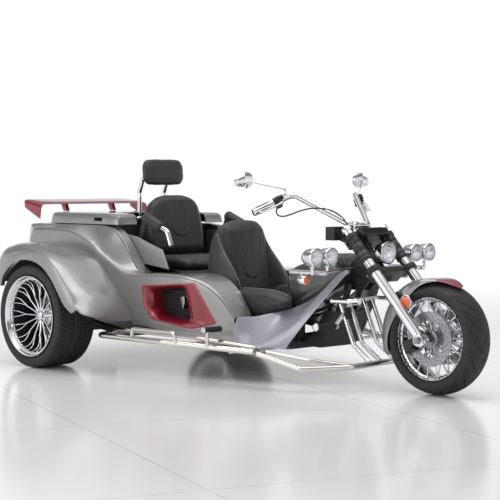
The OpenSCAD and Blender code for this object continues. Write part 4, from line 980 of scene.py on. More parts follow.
def sewnBack(a, b, n, outer):
    # a U-shaped centre panel and one seam outside it, each sunk into the padding
    inside = panelDistance(a, b, backPanel)
    closed = smoothStep((b - 122) / 14)
    n = n + 5 * band(inside, 60, 60) * (inside < 0) * closed - groove(inside, 4.5, 5.5) * closed
    return n - groove(np.abs(a) - outer, 4, 4)


def driverBackFront(a, b):
    wing = smoothStep((np.abs(a) - 166) / 36)
    plain = interpAt(b, [[0, 62], [60, 70], [250, 68], [420, 74], [470, 62], [490, 46]]) + 16 * (1 - (np.minimum(np.abs(a), 165) / 165)**2)
    bolster = interpAt(b, [[0, 176], [60, 186], [110, 176], [222, 122], [300, 78], [354, 56], [484, 30]])
    n = plain + wing * (bolster - plain) - 14 * np.exp(-(((np.abs(a) - 168) / 12)**2)) * smoothStep((470 - b) / 60)
    return sewnBack(a, b, n, 122 + b * 0.03)


def driverBackRear(a, b):
    return interpAt(b, [[0, -30], [100, -56], [192, -90], [304, -86], [400, -58], [455, -30], [490, 12]]) + 14 * (np.abs(a) / 240)**2


def driverSeatFront(a, b):
    wing = smoothStep((np.abs(a) - 132) / 44)
    pan = interpAt(b, [[-5, 52], [100, 48], [240, 38], [350, 42], [385, 38], [420, 30]])
    bolster = interpAt(b, [[-5, 60], [60, 84], [125, 92], [250, 94], [380, 92], [460, 80], [520, 66], [548, 50]])
    n = pan + wing * (bolster - pan) - 8 * np.exp(-(((np.abs(a) - 134) / 10)**2))
    inside = panelDistance(a, b, seatPanel)
    n = n + 4 * (inside < 0) * band(inside, 50, 60) - groove(inside, 5, 5) * (b < 350)
    for at in (110, 170, 230):
        n = n - groove(b - at, 6, 3.2) * (inside < -6)
    return n


def driverSeatRear(a, b):
    return interpAt(b, [[-5, -14], [100, -42], [210, -76], [385, -56], [400, -52], [520, 0], [548, 30]])


def passengerBackFront(a, b):
    n = interpAt(b, [[0, 100], [100, 93], [210, 86], [340, 80], [376, 54]]) + 8 * (1 - (a / 225)**2)
    return sewnBack(a, b * 1.22, n, 140)


def passengerSeatFront(a, b):
    n = interpAt(b, [[-70, 84], [120, 84], [190, 76], [232, 58]]) + 6 * smoothStep((np.abs(a) - 118) / 50) - 1
    n -= groove(np.abs(a) - 122, 6, 6)
    for at in (20, 90, 160):
        n -= groove(b - at, 6.5, 4) * (np.abs(a) < 118)
    return n


pads = {
    "driverSeatBack": {"origin": (985, 0, 430), "up": (-75, 0, 480), "middle": 215, "square": 9, "rim": 0.45,
                       "outline": [[0, -4], [150, -2], [225, 4], [262, 34], [273, 95], [268, 160], [250, 235], [226, 312], [204, 380],
                                   [178, 436], [128, 476], [60, 487], [0, 489]],
                       "front": driverBackFront, "back": driverBackRear, "nodes": ["driver_seat_back"]},
    "driverSeatCushion": {"origin": (1040, 0, 430), "up": (1, 0, 0), "out": -1, "middle": 190, "square": 9, "rim": 0.4,
                          "outline": [[0, -2], [150, -2], [236, 6], [266, 60], [274, 200], [274, 360], [268, 460], [244, 526], [206, 540],
                                      [168, 505], [140, 440], [100, 398], [50, 386], [0, 384]],
                          "front": driverSeatFront, "back": driverSeatRear, "nodes": ["driver_seat_cushion"]},
    "passengerSeatBack": {"origin": (300, 0, 692), "up": (-40, 0, 372), "middle": 185, "square": 8,
                          "outline": [[0, 0], [150, 0], [206, 8], [224, 60], [225, 190], [215, 262], [190, 318], [140, 356], [75, 372], [0, 374]],
                          "front": passengerBackFront,
                          "back": lambda a, b: interpAt(b, [[0, -60], [160, -56], [322, -22], [376, 10]]) + 0 * a,
                          "nodes": ["passenger_seat_back"]},
    "passengerSeatCushion": {"origin": (470, 0, 605.5), "up": (1, 0, 0), "out": -1, "middle": 20, "square": 8, "rim": 0.45,
                             "outline": [[0, -228], [150, -228], [215, -222], [225, -150], [225, 40], [220, 160], [196, 214], [120, 228], [0, 229]],
                             "front": passengerSeatFront, "back": lambda a, b: 0 * a + 0.3, "nodes": ["passenger_seat_cushion"]},
    "headrestPad": {"origin": (205, 0, 1216), "up": (-0.1045, 0, 0.9945), "middle": 0, "square": 5,
                 "outline": [[0, -82.5], [90, -82], [140, -74], [162, -45], [165, 0], [162, 45], [140, 74], [90, 82], [0, 82.5]],
                 "front": lambda a, b: 33 + 3 * np.cos(a / 165 * 1.4) * np.cos(b / 83 * 1.3) - groove(np.abs(b) - 52, 5, 3),
                 "back": lambda a, b: -33 + 0 * a, "nodes": ["headrest"]}}

for name, spec in pads.items():
    seat = addPiece(name, [padOf(spec)], leather, "chassis", spec["nodes"], sharp=70)

def sewnLine(name, points, offset):
    return stitches(seamLine(pads[name], [[p[0] + offset * np.sign(p[0]), p[1]] for p in points], 0.4, 140))


paintedHighlightTubes, sewing = [], []
for s in (-1, 1):
    half = [[s * p[0], p[1]] for p in backPanel[2:]]
    for offset in (-8, 8):
        sewing += sewnLine("driverSeatBack", half, offset)
        sewing += sewnLine("passengerSeatBack", [[p[0], p[1] / 1.22] for p in half[:-1]], offset)
    sewing += sewnLine("driverSeatBack", [[s * 122, 20], [s * 127, 180], [s * 133, 360], [s * 135, 440]], 7)
    sewing += sewnLine("driverSeatCushion", [[s * p[0], p[1]] for p in seatPanel[:-1]], 8)
    sewing += sewnLine("passengerSeatCushion", [[s * 122, -60], [s * 122, 60], [s * 122, 200]], 9)
    # light grey tubes along the inner edges of the wings: a painted highlight along the wing crease
    for name, line in (("driverSeatBack", [[192, 410], [200, 330], [204, 250], [205, 160], [203, 80], [198, 24]]),
                       ("driverSeatCushion", [[176, 24], [180, 160], [182, 300], [186, 420], [192, 500]])):
        path = seamLine(pads[name], [[s * p[0], p[1]] for p in line], 0.8, 90)
        paintedHighlightTubes.append(tube(path, 0.0024, 8) + (0,))
addPiece("seatPaintedHighlights", paintedHighlightTubes, threadAndPaintedHighlight, "chassis")
addPiece("seatStitches", sewing, threadAndPaintedHighlight, "chassis")
print("seats made")


# ---- fork, front fender and lamps ----

forkY = 0.150


def legParts():
    parts = []
    for s in (-1, 1):
        def leg(profile, sides=48):
            return alongFork(lathe(profile, (0, 0, 0), (0, 0, 1), sides), s * forkY) + (0,)
        parts.append(leg([(-0.042, 0), (-0.042, 0.022), (-0.038, 0.0275), (-0.030, 0.029), (0.554, 0.029), (0.5555, 0.0275),
                          (0.556, 0.025), (0.774, 0.025), (0.774, 0.031), (0.776, 0.033), (0.794, 0.033),
                          (0.799, 0.030), (0.802, 0.020), (0.802, 0)]))
        lug = lathe([(-0.029, 0.0129), (-0.029, 0.031), (-0.026, 0.034), (0.026, 0.034), (0.029, 0.031), (0.029, 0.0129)], (0, 0, 0),
                    (0, 1, 0), 48, closed=True)
        parts.append(alongFork(lug, s * forkY) + (0,))
    return parts


def coverParts():
    parts = []
    for s in (-1, 1):
        def ring(profile, index):
            return alongFork(lathe(profile, (0, 0, 0), (0, 0, 1), 48, closed=True), s * forkY) + (index,)
        parts.append(ring([(0.560, 0.0254), (0.560, 0.033), (0.7155, 0.033), (0.7155, 0.0254)], 0))
        for z, h in ((0.560, 0.014), (0.588, 0.008), (0.622, 0.040), (0.676, 0.0395)):
            parts.append(ring([(z, 0.0325), (z, 0.0344), (z + 0.0012, 0.035), (z + h - 0.0012, 0.035), (z + h, 0.0344), (z + h, 0.0325)], 1))
    return parts


addPiece("forkLegs", legParts(), chromePlate, "steering", ["fork_legs"])
addPiece("forkCovers", coverParts(), [coverGrey, mouldedBlack], "steering", ["fork_covers"])
axleEnds = []
for s in (-1, 1):
    axleEnds.append(lathe([(s * 0.180, 0), (s * 0.180, 0.0215), (s * 0.190, 0.0215), (s * 0.192, 0.019), (s * 0.192, 0.0125),
                           (s * 0.194, 0.0115), (s * 0.194, 0)], (wheelX, 0, frontR), sides=6) + (0,))
    axleEnds.append(lathe([(s * 0.0845, 0.0125), (s * 0.0845, 0.018), (s * 0.1205, 0.018), (s * 0.1205, 0.0125)], (wheelX, 0, frontR),
                          sides=40, closed=True) + (0,))
axleEnds.append(lathe([(-0.193, 0), (-0.193, 0.0123), (0.193, 0.0123), (0.193, 0)], (wheelX, 0, frontR), sides=40) + (0,))
addPiece("frontAxle", axleEnds, satinSteel, "steering", ["front_axle"], sharp=30)


frontFender = {"start": 60.3, "end": 199.7, "half": 0.111, "crown": 0.0208, "skirt": 0.078, "redRows": 17}


def frontFenderParts():
    # a bowed section carried round the tyre: pointed and red at the front, with deep skirts beside the fork
    t = np.linspace(0, 1, 110)
    s = np.linspace(-1, 1, 45)
    tt, ss = np.meshgrid(t, s, indexing="ij")
    angle = np.radians(frontFender["start"] + (frontFender["end"] - frontFender["start"]) * tt)
    nose = (np.minimum(tt, 0.27) / 0.27)**0.62
    tail = np.sqrt(np.clip(1 - ((np.maximum(tt, 0.94) - 0.94) / 0.06)**2, 0, 1))
    wide = frontFender["half"] * (0.05 + 0.95 * nose) * (0.75 + 0.25 * tail)
    deep = frontFender["skirt"] * smoothStep((tt - 0.10) / 0.42) * (1 - 0.45 * smoothStep((tt - 0.62) / 0.36)) + 0.004
    w = np.abs(ss)
    r = frontR + frontFender["crown"] - 0.004 * w**2 - deep * np.clip((w - 0.55) / 0.45, 0, 1)**1.35
    y = np.sign(ss) * wide * (1 - (1 - w)**1.9)
    grid = np.stack([wheelX + r * np.cos(angle), y, frontR + r * np.sin(angle)], -1)
    red = frontFender["redRows"]
    return [sheetOf(grid[:red + 1]) + (1,), sheetOf(grid[red:]) + (0,)]


addPiece("frontFender", frontFenderParts(), [greyPaint, redPaint], "steering", ["front_fender"], wall=0.0045,
         bevel=0.0008)


def fenderStayParts():
    parts = []
    for s in (-1, 1):
        plate = prism([[-0.030, 0.286], [0.030, 0.286], [0.030, 0.316], [-0.030, 0.316]], s * 0.1115, s * 0.1205)
        parts.append(alongFork(plate) + (0,))
        # lamp-like reflector in its housing on the outside of the skirt
        at = np.array([axleX + wheelbase / 1000 - 0.129, s * 0.113, 0.503])
        parts.append(lathe([(0, 0), (0, 0.0385), (s * 0.010, 0.0385), (s * 0.013, 0.036), (s * 0.013, 0.0335), (s * 0.009, 0.032), (s * 0.009, 0)], at, sides=48) + (1,))
        parts.append(lathe([(s * 0.009, 0.0325), (s * 0.0145, 0.031), (s * 0.0168, 0.022), (s * 0.0175, 0.0)], at, sides=48) + (2,))
    return parts


addPiece("fenderStays", fenderStayParts(), [powderBlackAndHoleShade, chromePlate, amberLens], "steering", bevel=0.0006)


def lampParts(x, y, z, length, radius, index=0):
    # shell, bright rim, bowl and clear lens, drawn along x with the rim in front
    at = (x, y, z)
    k = radius
    shell = [(-length, 0), (-length, 0.22 * k), (-0.97 * length, 0.42 * k), (-0.88 * length, 0.66 * k), (-0.74 * length, 0.82 * k),
             (-0.55 * length, 0.91 * k), (-0.30 * length, 0.95 * k), (-0.13 * length, 0.96 * k), (-0.125 * length, 1.0 * k), (-0.02 * length, 1.0 * k), (0, 0.97 * k),
             (0.001, 0.93 * k), (-0.004, 0.90 * k), (-0.012, 0.88 * k), (-0.02, 0.80 * k), (-0.035, 0.5 * k), (-0.042, 0.25 * k),
             (-0.043, 0)]
    bulb = [(-0.043, 0), (-0.043, 0.16 * k), (-0.022, 0.16 * k), (-0.016, 0.11 * k), (-0.015, 0)]
    glass = [(-0.0065, 0), (-0.0065, 0.895 * k), (-0.003, 0.905 * k), (0.0005, 0.88 * k), (0.0035, 0.6 * k), (0.0052, 0.3 * k), (0.0056, 0)]
    axis = (1, 0, 0)
    ribs = [(-0.0125 - 0.0005, 0)]
    return [lathe(shell, at, axis, 64) + (index,), lathe(bulb, at, axis, 24) + (index,)], [lathe(glass, at, axis, 64) + (0,)]


lampX = wheelX - 0.349
headLow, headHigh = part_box("headlight")
shell, glass = lampParts(headHigh.x - 0.006, 0, (headLow.z + headHigh.z) / 2, 0.086, (headHigh.z - headLow.z) / 2)
addPiece("headlightShell", shell, chromePlate, "steering", ["headlight"])
addPiece("headlightLens", glass, clearLens, "steering")
spotLow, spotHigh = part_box("spot_lamps")
spots, lenses = [], []
for y in (0.357, 0.476):
    a, b = lampParts(spotHigh.x - 0.006, y, 0.743, 0.100, 0.052)
    spots += a
    lenses += b
    spots.append(lathe([(0.004, 0.0), (0.006, 0.030), (0.004, 0.0)], (spotHigh.x - 0.1, y, 0.743), (1, 0, 0), 8) + (0,))
for y in (0.420,):
    at = (spotHigh.x - 0.215, y, 0.612)
    spots.append(lathe([(0.075, 0.0), (0.075, 0.0235), (0.070, 0.026), (0.045, 0.026), (0.022, 0.0225), (0.008, 0.012), (0.0, 0.0)], at,
                       (1, 0, 0), 40) + (0,))
    lenses.append(lathe([(0.0755, 0.0), (0.0755, 0.0225), (0.079, 0.019), (0.081, 0.010), (0.0815, 0.0)], at, (1, 0, 0), 40) + (1,))
spots = [p for p in spots if len(p[0]) > 40]
addPiece("spotLamps", bothSides(spots), chromePlate, "chassis", ["spot_lamps"])
addPiece("spotLampLenses", bothSides(lenses), [clearLens, amberLens], "chassis")
tails = []
for y in (0.330, 0.440):
    at = (axleX - 0.6483, y, 0.690)
    tails.append(lathe([(0, 0), (0, 0.044), (-0.009, 0.044), (-0.0115, 0.041), (-0.0115, 0.037), (-0.009, 0.035), (-0.009, 0)], at, (1, 0, 0), 48) + (0,))
    tails.append(lathe([(-0.008, 0.0355), (-0.0125, 0.033), (-0.0148, 0.022), (-0.0157, 0)], at, (1, 0, 0), 48) + (1,))
    tails.append(inMm(block([-648.3, y * 1000 - 30, 660], [-560, y * 1000 + 30, 720])) + (2,))
addPiece("tailLamps", bothSides(tails), [chromePlate, redLens, mouldedBlack], "chassis", ["tail_lamps"], bevel=0.0004)
print("fork and lamps made")


# ---- tubes ----

def pathMm(points, bend):
    return mm(rounded(points, bend))


barBend = {"side": 50, "brace": 26}
barX = (480, 1080, 1656)


def sideBarParts(side):
    outer = [[barX[0], -562, 236], [barX[0], -750, 229], [barX[1], -750, 232], [barX[2] - 3, -560, 204]]
    inner = [[barX[0], -640, 236], [barX[0] + 60, -640, 258], [1240, -622, 258], [barX[2] - 40, -535, 225], [barX[2] - 10, -548, 208]]
    parts = [tube(pathMm(outer, 50), 0.017, 24) + (0,), tube(pathMm(inner, 40), 0.012, 20) + (0,),
             tube(pathMm([[800, -750, 232], [800, -750, 290], [1170, -740, 290], [1170, -735, 230]], 26), 0.011, 20) + (0,)]
    for a, b, r in (([barX[0], -212, 210], [barX[0], -563, 236], 16), ([1240, -211, 210], [1240, -698, 226], 15),
                    ([1500, -211, 197], [1500, -612, 197], 10)):
        parts.append(tube(mm(np.linspace(a, b, 4)), r / 1000, 20) + (0,))
    parts.append(tube(mm(np.linspace([1370, -668, 222], [1370, -668, 312], 4)), 0.011, 16) + (0,))
    # ribbed rubber on the passenger's peg, with bright ends
    ribs = []
    for y in np.linspace(-690, -572, 13):
        ribs += [(y, 15.2), (y + 1.5, 17), (y + 6, 17), (y + 7.5, 15.2)]
    ribs = [(-692, 0)] + ribs + [(-566, 0)]
    peg = [(p[0] / 1000, p[1] / 1000) for p in ribs]
    parts.append(moved(lathe(peg, (0, 0, 0), (0, 1, 0), 28), (axleX + 1.370, 0, 0.317)) + (1,))
    for y0, y1 in ((-0.700, -0.691), (-0.567, -0.560)):
        parts.append(lathe([(y0, 0), (y0, 0.015), (y0 + 0.002, 0.0172), (y1 - 0.002, 0.0172), (y1, 0.015), (y1, 0)],
                           (axleX + 1.370, 0, 0.317), sides=32) + (0,))
    # clamp at the front end
    parts.append(lathe([(1.6515, 0), (1.6515, 0.022), (1.6535, 0.025), (1.6595, 0.025), (1.6595, 0)], (axleX, -0.560, 0.204), (1, 0, 0), 32) + (2,))
    return [flipped(p[:2]) + (p[2],) for p in parts] if side > 0 else parts


for side, word in ((-1, "right"), (1, "left")):
    addPiece(f"sideBars{word.capitalize()}", sideBarParts(side), [steelPolish, softBlack, satinSteel], "chassis",
             [f"side_bars_{word}"])

headX = wheelbase - 500
lower = [[barX[2] + 9, -560, 196], [headX - 60, -500, 128], [headX + 118, -280, 138], [headX + 148, -90, 150]]
lower += [[p[0], -p[1], p[2]] for p in lower[::-1]]
frontBars = [tube(pathMm(lower, 60), 0.016, 24) + (0,)]
sides_ = [tube(pathMm([[barX[2] + 14, -507, 204], [headX - 60, -425, 172], [headX + 60, -300, 150], [headX + 119, -262, 140]], 60), 0.011, 20) + (0,),
          tube(mm(np.linspace([barX[2] + 18, -560, 196], [barX[2] + 18, -504, 203], 4)), 0.012, 20) + (1,),
          lathe([(1.6602, 0), (1.6602, 0.025), (1.666, 0.025), (1.668, 0.022), (1.668, 0)], (axleX, -0.560, 0.200), (1, 0, 0), 32) + (1,)]
addPiece("frontBars", frontBars + bothSides(sides_), [steelPolish, satinSteel], "chassis", ["front_bars"])
downs = []
for y, x, z in ((-136, headX + 138.6, 146.3), (-62, headX + 148, 150), (62, headX + 148, 150), (136, headX + 138.6, 146.3)):
    d = unit(np.array([144.0, 0, -94]))
    downs.append(tube(pathMm([[headX - 105, y, 484], [headX + 4, y, 244], np.array([x, y, z]) - 16.3 * d], 60), 0.013, 20) + (0,))
downs.append(tube(mm(np.linspace([headX - 105, -150, 484], [headX - 105, 150, 484], 5)), 0.013, 20) + (0,))
addPiece("downTubes", downs, chromePlate, "chassis", ["down_tubes"])


def footParts():
    parts = [tube(mm(np.linspace([headX - 105, -150.3, 484], [headX - 105, -200, 484], 4)), 0.012, 20) + (0,),
             tube(mm(np.linspace([headX - 112, -192, 484], [headX + 70, -184, 486], 6)), 0.012, 20) + (0,),
             tube(pathMm([[headX + 48, -200, 486], [headX + 26, -246, 420], [headX + 2, -285, 359]], 30), 0.012, 20) + (0,)]
    # cylinder for the pedal, with its cap and joint
    a, b = mm([headX + 20, -200, 486]), mm([headX + 92, -184, 492])
    along = b - a
    h = np.linalg.norm(along)
    parts.append(lathe([(0, 0), (0, 0.015), (0.004, 0.0195), (h * 0.55, 0.0195), (h * 0.56, 0.0165), (h * 0.7, 0.0165), (h * 0.71, 0.0200),
                        (h - 0.003, 0.0200), (h, 0.017), (h, 0)], a, along, 32) + (0,))
    ribs = []
    for y in np.linspace(-434, -300, 12):
        ribs += [(y, 15.6), (y + 2, 18), (y + 7, 18), (y + 9, 15.6)]
    ribs = [(-438, 0)] + ribs + [(-290, 0)]
    peg = [(p[0] / 1000, p[1] / 1000) for p in ribs]
    parts.append(moved(lathe(peg, (0, 0, 0), (0, 1, 0), 28), (axleX + (headX + 2) / 1000, 0, 0.3585)) + (1,))
    parts.append(lathe([(-0.4525, 0), (-0.4510, 0.014), (-0.447, 0.020), (-0.443, 0.022), (-0.438, 0.020), (-0.437, 0)],
                       (axleX + (headX + 2) / 1000, 0, 0.3600), sides=36) + (0,))
    parts.append(lathe([(-0.292, 0), (-0.292, 0.0175), (-0.270, 0.0175), (-0.270, 0)], (axleX + (headX + 2) / 1000, 0, 0.3575), sides=36) + (0,))
    # pedal pad
    parts.append(inMm(prism([[headX + 58, 395], [headX + 68, 398], [headX + 52, 462], [headX + 42, 458]], -262, -212)) + (1,))
    return parts


addPiece("footControls", bothSides(footParts()), [chromePlate, softBlack], "chassis", ["foot_controls"], sharp=30)
addPiece("headrestBars", bothSides([tube(pathMm([[94.5, 105, 920.6], [92, 105, 1085], [128, 105, 1172], [170.4, 105, 1186]], 40), 0.015, 24) + (0,),
                                    inMm(lathe([(920.4, 0), (920.4, 27), (926, 26), (930, 20), (930, 0)], (94.5, 105, 0), (0, 0, 1), 32)) + (0,)]),
         chromePlate, "chassis", ["headrest_bars"])
addPiece("grabHandles", bothSides([tube(pathMm([[604.6, 350, 869.7], [655, 350, 850], [694, 350, 757]], 30), 0.016, 24) + (0,),
                                   tube(pathMm([[691.5, 350, 763], [697.5, 350, 748.5]], 5), 0.0165, 24) + (1,)]),
         [chromePlate, softBlack], "chassis", ["grab_handles"])


def armrestParts():
    a, b = mm([438, 350, 936]), mm([604, 350, 870])
    h = float(np.linalg.norm(b - a))
    roll = [(0, 0), (0.001, 0.020), (0.006, 0.029), (0.014, 0.033), (h - 0.014, 0.033), (h - 0.006, 0.029), (h - 0.001, 0.020), (h, 0)]
    parts = [lathe(roll, a, b - a, 40) + (0,)]
    parts.append(inMm(prism([[372, 778], [430, 940], [470, 925], [420, 778]], 345, 357)) + (1,))
    parts.append(inMm(lathe([(356, 0), (356, 14), (384.6, 14), (384.6, 0)], (395, 0, 794), sides=28)) + (2,))
    return parts


addPiece("armrestRolls", bothSides(armrestParts()), [leather, mouldedBlack, chromePlate], "chassis", ["armrests"], bevel=0.0015)


def bracketParts():
    y = 416.5
    x = headX + 53
    parts = [tube(mm(np.linspace([x - 262, y, 655], [x - 8, y, 655], 5)), 0.013, 24) + (0,),
             tube(mm(np.linspace([x - 45, 357, 655], [x - 45, 476, 655], 4)), 0.009, 20) + (0,),
             tube(mm(np.linspace([x - 20, y, 657], [headX - 62, 36, 670], 5)), 0.007, 16) + (0,),
             tube(mm(np.linspace([x - 180, y, 655], [x - 180, y, 638.4], 3)), 0.009, 16) + (0,)]
    for k in (357, 476):
        parts.append(lathe([(0.650, 0), (0.650, 0.009), (0.6845, 0.009), (0.686, 0.013), (0.6925, 0.013), (0.6925, 0)],
                           (axleX + (x - 45) / 1000, k / 1000, 0), (0, 0, 1), 24) + (0,))
    for at in (x - 262, x - 8):
        parts.append(inMm(lathe([(at - 2, 0), (at - 2, 10), (at, 14.5), (at + 5, 14.5), (at + 7, 10), (at + 7, 0)] if at > x - 100 else
                                [(at - 5, 0), (at - 5, 10), (at - 3, 14.5), (at + 2, 14.5), (at + 2, 0)], (0, y, 655), (1, 0, 0), 28)) + (0,))
    return parts


addPiece("lampBrackets", bothSides(bracketParts()), chromePlate, "chassis", ["lamp_brackets"])

barMid = [wheelbase - 572, 0, 905]
barIn = [wheelbase - 575, -70, 905]
barKink = np.array([wheelbase - 850, -258, 1082])
barTip = np.array([wheelbase - 961, -470, 978])
gripWay = unit(barTip - barKink)
half = [barTip, barKink, barIn]
handle = [tube(pathMm(half + [np.array(p) * [1, -1, 1] for p in half[::-1]], 58), 0.016, 28) + (0,)]
for y in (-45, 45):       # risers and their caps
    handle.append(tube(mm(np.linspace([barMid[0] + 1, y, 902], [barMid[0] + 22, y, 835], 4)), 0.019, 28) + (0,))
    handle.append(inMm(lathe([(y - 20, 0), (y - 20, 22), (y - 17, 24), (y + 17, 24), (y + 20, 22), (y + 20, 0)], (barMid[0], 0, 905), sides=36)) + (0,))
addPiece("handlebarTube", handle, chromePlate, "steering", ["handlebar"])


def controlParts():
    parts = []
    tip, way = mm(barTip), gripWay
    start = tip - way * 0.134
    grip = [(0, 0.0165), (0, 0.0215), (0.003, 0.0232), (0.010, 0.0215), (0.118, 0.0205), (0.124, 0.0215), (0.130, 0.0215), (0.1335, 0.0190),
            (0.134, 0)]
    parts.append(lathe(grip, start, way, 36) + (0,))
    u = unit(np.cross(way, [0, 0, 1.0]))
    v = np.cross(way, u)
    for i in range(9):      # long rubber strips let into the grip
        a = 2 * math.pi * i / 9
        d = u * math.cos(a) + v * math.sin(a)
        path = np.array([start + way * s + d * 0.0200 for s in np.linspace(0.014, 0.116, 6)])
        parts.append(tube(path, [0.0012, 0.0030, 0.0030, 0.0030, 0.0030, 0.0012], 8, 0.7) + (1,))
    # switch housing in two halves, with its clamp
    h0 = start - way * 0.046
    parts.append(lathe([(0, 0.0165), (0, 0.024), (0.003, 0.0275), (0.020, 0.029), (0.022, 0.0275), (0.024, 0.029), (0.042, 0.0275), (0.0455, 0.023),
                        (0.0455, 0.0165)], h0, way, 36) + (2,))
    for k, s in enumerate((0.010, 0.033)):
        parts.append(lathe([(0.024, 0), (0.024, 0.006), (0.031, 0.0055), (0.032, 0.004), (0.032, 0)], h0 + way * s, u * (-1) + v * 0.4, 16) + (1,))
    root = start - way * 0.026 + np.array([0.034, 0, -0.004])
    parts.append(tube(np.linspace(start - way * 0.026, root, 4), 0.010, 20) + (2,))
    lever = smoothCurve([root, root + way * 0.03 + [0.012, 0, 0.0], root + way * 0.09 + [0.014, 0, 0.001], tip + [0.050, 0.010, 0.004],
                         tip + [0.047, 0.003, 0.004]], 26)
    parts.append(tube(lever, np.interp(np.linspace(0, 1, 26), [0, 0.1, 0.85, 0.95, 1], [0.008, 0.0062, 0.0048, 0.0068, 0.0068]), 14, 0.75) + (0,))
    low_ = unit(np.array([0, 0, -1.0]) - way * way[2] * -1)
    parts.append(tube(np.array([h0 + way * 0.023 + low_ * k for k in (0.012, 0.020, 0.034, 0.038)]), [0.019, 0.021, 0.020, 0.014], 20) + (2,))
    parts.append(lathe([(0.024, 0), (0.024, 0.0075), (0.033, 0.007), (0.034, 0.005), (0.034, 0)], h0 + way * 0.022, [0, 0, 1], 20) + (3,))
    # master cylinder on top of the housing
    parts.append(lathe([(0, 0), (0, 0.013), (0.002, 0.0145), (0.038, 0.0145), (0.040, 0.013), (0.040, 0)], h0 + [0.016, 0, 0.020], way, 28) + (2,))
    return parts


addPiece("handControls", bothSides(controlParts()), [chromePlate, softBlack, mouldedBlack, redLens], "steering", ["hand_controls"])


def mirrorParts():
    root = barKink + gripWay * 50
    head = np.array([wheelbase - 1008, -492, 1160])
    knee = root + [10, -22, 52]
    parts = [inMm(lathe([(0, 0), (0, 10), (3, 11), (14, 11), (17, 8), (34, 7), (34, 0)], root + [1, -1, 12], (0.06, -0.12, 1), 28)) + (0,),
             tube(pathMm([root + [2, -4, 40], knee, head + [6, 2, 0]], 14), 0.005, 16) + (0,)]
    # two-lobed leaf: pointed at each end, thickest in the middle, with its back crowned
    t = np.linspace(0, 2 * math.pi, 72, endpoint=False)
    across, up = np.cos(t), np.sin(t)
    lobe = 1 - 0.10 * np.exp(-((t - 1.5 * math.pi) / 0.35)**2)
    oy = 74 * np.sign(across) * np.abs(across)**1.15
    oz = 42 * np.sign(up) * np.abs(up)**0.85 * (1 + 0.18 * np.sign(across)) * lobe
    rows = []
    for f, x in ((0.02, -11), (0.3, -10.5), (0.55, -9), (0.78, -5.5), (0.92, -1), (1.0, 4), (1.0, 7), (0.96, 9), (0.93, 7.5)):
        rows.append(np.stack([np.full(72, float(x)), oy * f, oz * f], -1))
    body_ = sheetOf(np.array(rows), closeCols=True)
    glass_ = sheetOf(np.stack([np.stack([np.full(72, 7.4 + 0.3 * (1 - f)), oy * f * 0.935, oz * f * 0.935], -1) for f in (1.0, 0.6, 0.02)]), closeCols=True)
    spin = math.radians(8)
    for part, index in ((body_, 0), (glass_, 1)):
        q = part[0].copy()
        y, z = q[:, 1] * math.cos(spin) - q[:, 2] * math.sin(spin), q[:, 1] * math.sin(spin) + q[:, 2] * math.cos(spin)
        q = np.stack([-q[:, 0], y, z], -1) + head
        parts.append((mm(q), part[1], index))
    return parts


mirrorGlass = finishOf("silveredGlass", "#C9D2DA", "#C4CDD6", 1.0, 0.03, "Noise", 90, 0.0, 0.1)
addPiece("mirrorHeads", bothSides(mirrorParts()), [chromePlate, mirrorGlass], "steering", ["mirrors"])

hosePoints = [[1602, -338, 1008], [1592, -338, 985], [1602, -333, 964], [1632, -320, 958], [1666, -300, 968], [1705, -272, 986],
              [1745, -240, 1000], [1790, -197, 1004], [1835, -155, 994], [1872, -126, 972], [1905, -110, 940], [1930, -108, 905],
              [1944, -108, 870], [1949, -106, 820]]
hosePath = smoothCurve(mm(np.array(hosePoints) + [wheelbase - 2500, 0, 0]), 90)
hose = addPiece("brakeHose", [tube(hosePath, 0.004, 14) + (0,)], hoseRubber, "steering", ["brake_hose"])
boxParts = [inMm(block([wheelbase - 706, -145, 822], [wheelbase - 637, -45, 898])) + (0,)]
boxParts.append(inMm(block([wheelbase - 637.4, -137, 830], [wheelbase - 634.5, -53, 890])) + (1,))
dial = (axleX + (wheelbase - 706) / 1000, -0.095, 0.862)
boxParts.append(lathe([(0.003, 0), (0.003, 0.026), (-0.002, 0.028), (-0.004, 0.027), (-0.0045, 0.024), (-0.002, 0.0235), (-0.002, 0)], dial, (1, 0, 0), 48) + (2,))
boxParts.append(lathe([(-0.0018, 0), (-0.0018, 0.023), (-0.0022, 0.023), (-0.0022, 0.0)], dial, (1, 0, 0), 48) + (3,))
for y in (-130, -60):
    boxParts.append(inMm(lathe([(0, 0), (0, 6), (3, 6), (4, 5), (4, 0)], (wheelbase - 671, y, 897.8), (0, 0, 1), 6)) + (2,))
boxParts.append(tube(mm(np.linspace([wheelbase - 645, -95, 832], [wheelbase - 568, -95, 806], 4)), 0.0095, 20) + (1,))
dialFace = finishOf("printedDial", "#D8D8DA", "#D0D0D3", 0.0, 0.4, "Noise", 10, 0.02, 0.1)
addPiece("instrumentBox", boxParts, [mouldedBlack, powderBlackAndHoleShade, chromePlate, dialFace], "steering", ["instrument_box"],
         bevel=0.003, segments=3)
print("tubes and controls made")


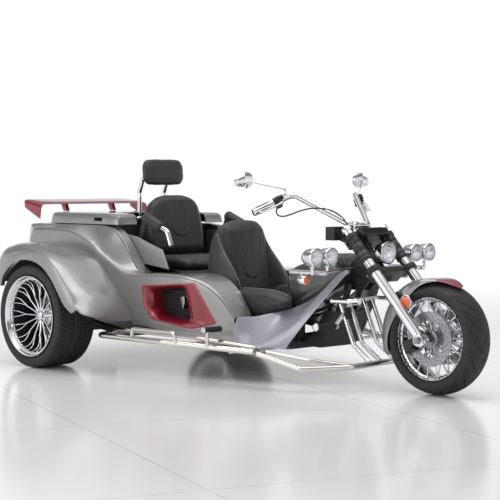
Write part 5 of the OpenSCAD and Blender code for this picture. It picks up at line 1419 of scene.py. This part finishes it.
def clampParts():
    parts = []
    for low, high, boss in ((0.474, 0.506, 0.043), (0.716, 0.746, 0.039)):
        for s in (-1, 1):
            ring = [(low, 0.0295), (low, boss - 0.003), (low + 0.003, boss), (high - 0.003, boss), (high, boss - 0.003), (high, 0.0295)]
            parts.append(alongFork(lathe(ring, (0, 0, 0), (0, 0, 1), 48, closed=True), s * forkY) + (0,))
            # split ear with its pinch bolt
            parts.append(alongFork(prism([[-0.056, low + 0.004], [-0.036, low + 0.004], [-0.036, high - 0.004], [-0.056, high - 0.004]],
                                         s * 0.138, s * 0.162)) + (0,))
            parts.append(alongFork(moved(lathe([(0, 0), (0, 0.006), (0.006, 0.006), (0.007, 0.005), (0.007, 0)], (0, 0, 0), sides=6),
                                         (-0.046, s * 0.162 if s > 0 else -0.169, (low + high) / 2))) + (1,))
        parts.append(alongFork(prism([[-0.090, low], [0.010, low], [0.010, high], [-0.090, high]], -0.112, 0.112)) + (0,))
        parts.append(alongFork(moved(lathe([(low, 0), (low, 0.042), (high, 0.042), (high, 0)], (0, 0, 0), (0, 0, 1), 40), (-0.070, 0, 0))) + (0,))
    parts.append(alongFork(moved(lathe([(0.480, 0), (0.480, 0.024), (0.740, 0.024), (0.740, 0)], (0, 0, 0), (0, 0, 1), 32), (-0.070, 0, 0))) + (1,))
    parts.append(alongFork(prism([[0.010, 0.710], [0.050, 0.710], [0.054, 0.716], [0.054, 0.754], [0.050, 0.760], [0.010, 0.760]], -0.111, 0.111)) + (0,))
    for z in np.linspace(0.717, 0.749, 5):       # ribs over the cross piece
        parts.append(alongFork(prism([[0.052, z], [0.0575, z], [0.0575, z + 0.0032], [0.052, z + 0.0032]], -0.106, 0.106)) + (0,))
    for s in (-1, 1):
        parts.append(alongFork(prism([[0.004, 0.646], [0.034, 0.646], [0.034, 0.716], [0.004, 0.716]], s * 0.068, s * 0.076)) + (0,))
    return parts


addPiece("forkClamps", clampParts(), [powderBlackAndHoleShade, satinSteel], "steering", ["fork_clamps"], bevel=0.0016, segments=2)

# ---- what keeps its plain shape gets its finish ----

plain = {"frame": powderBlackAndHoleShade, "steering_head": powderBlackAndHoleShade, "engine": castAlloy, "rear_axle": powderBlackAndHoleShade, "belly_panel": mouldedBlack,
         "exhausts": chromePlate, "front_calipers": powderBlackAndHoleShade, "plate_holder": mouldedBlack}
for name, material in plain.items():
    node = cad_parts[name]
    node.data.materials.clear()
    node.data.materials.append(material)
print("plain nodes finished")
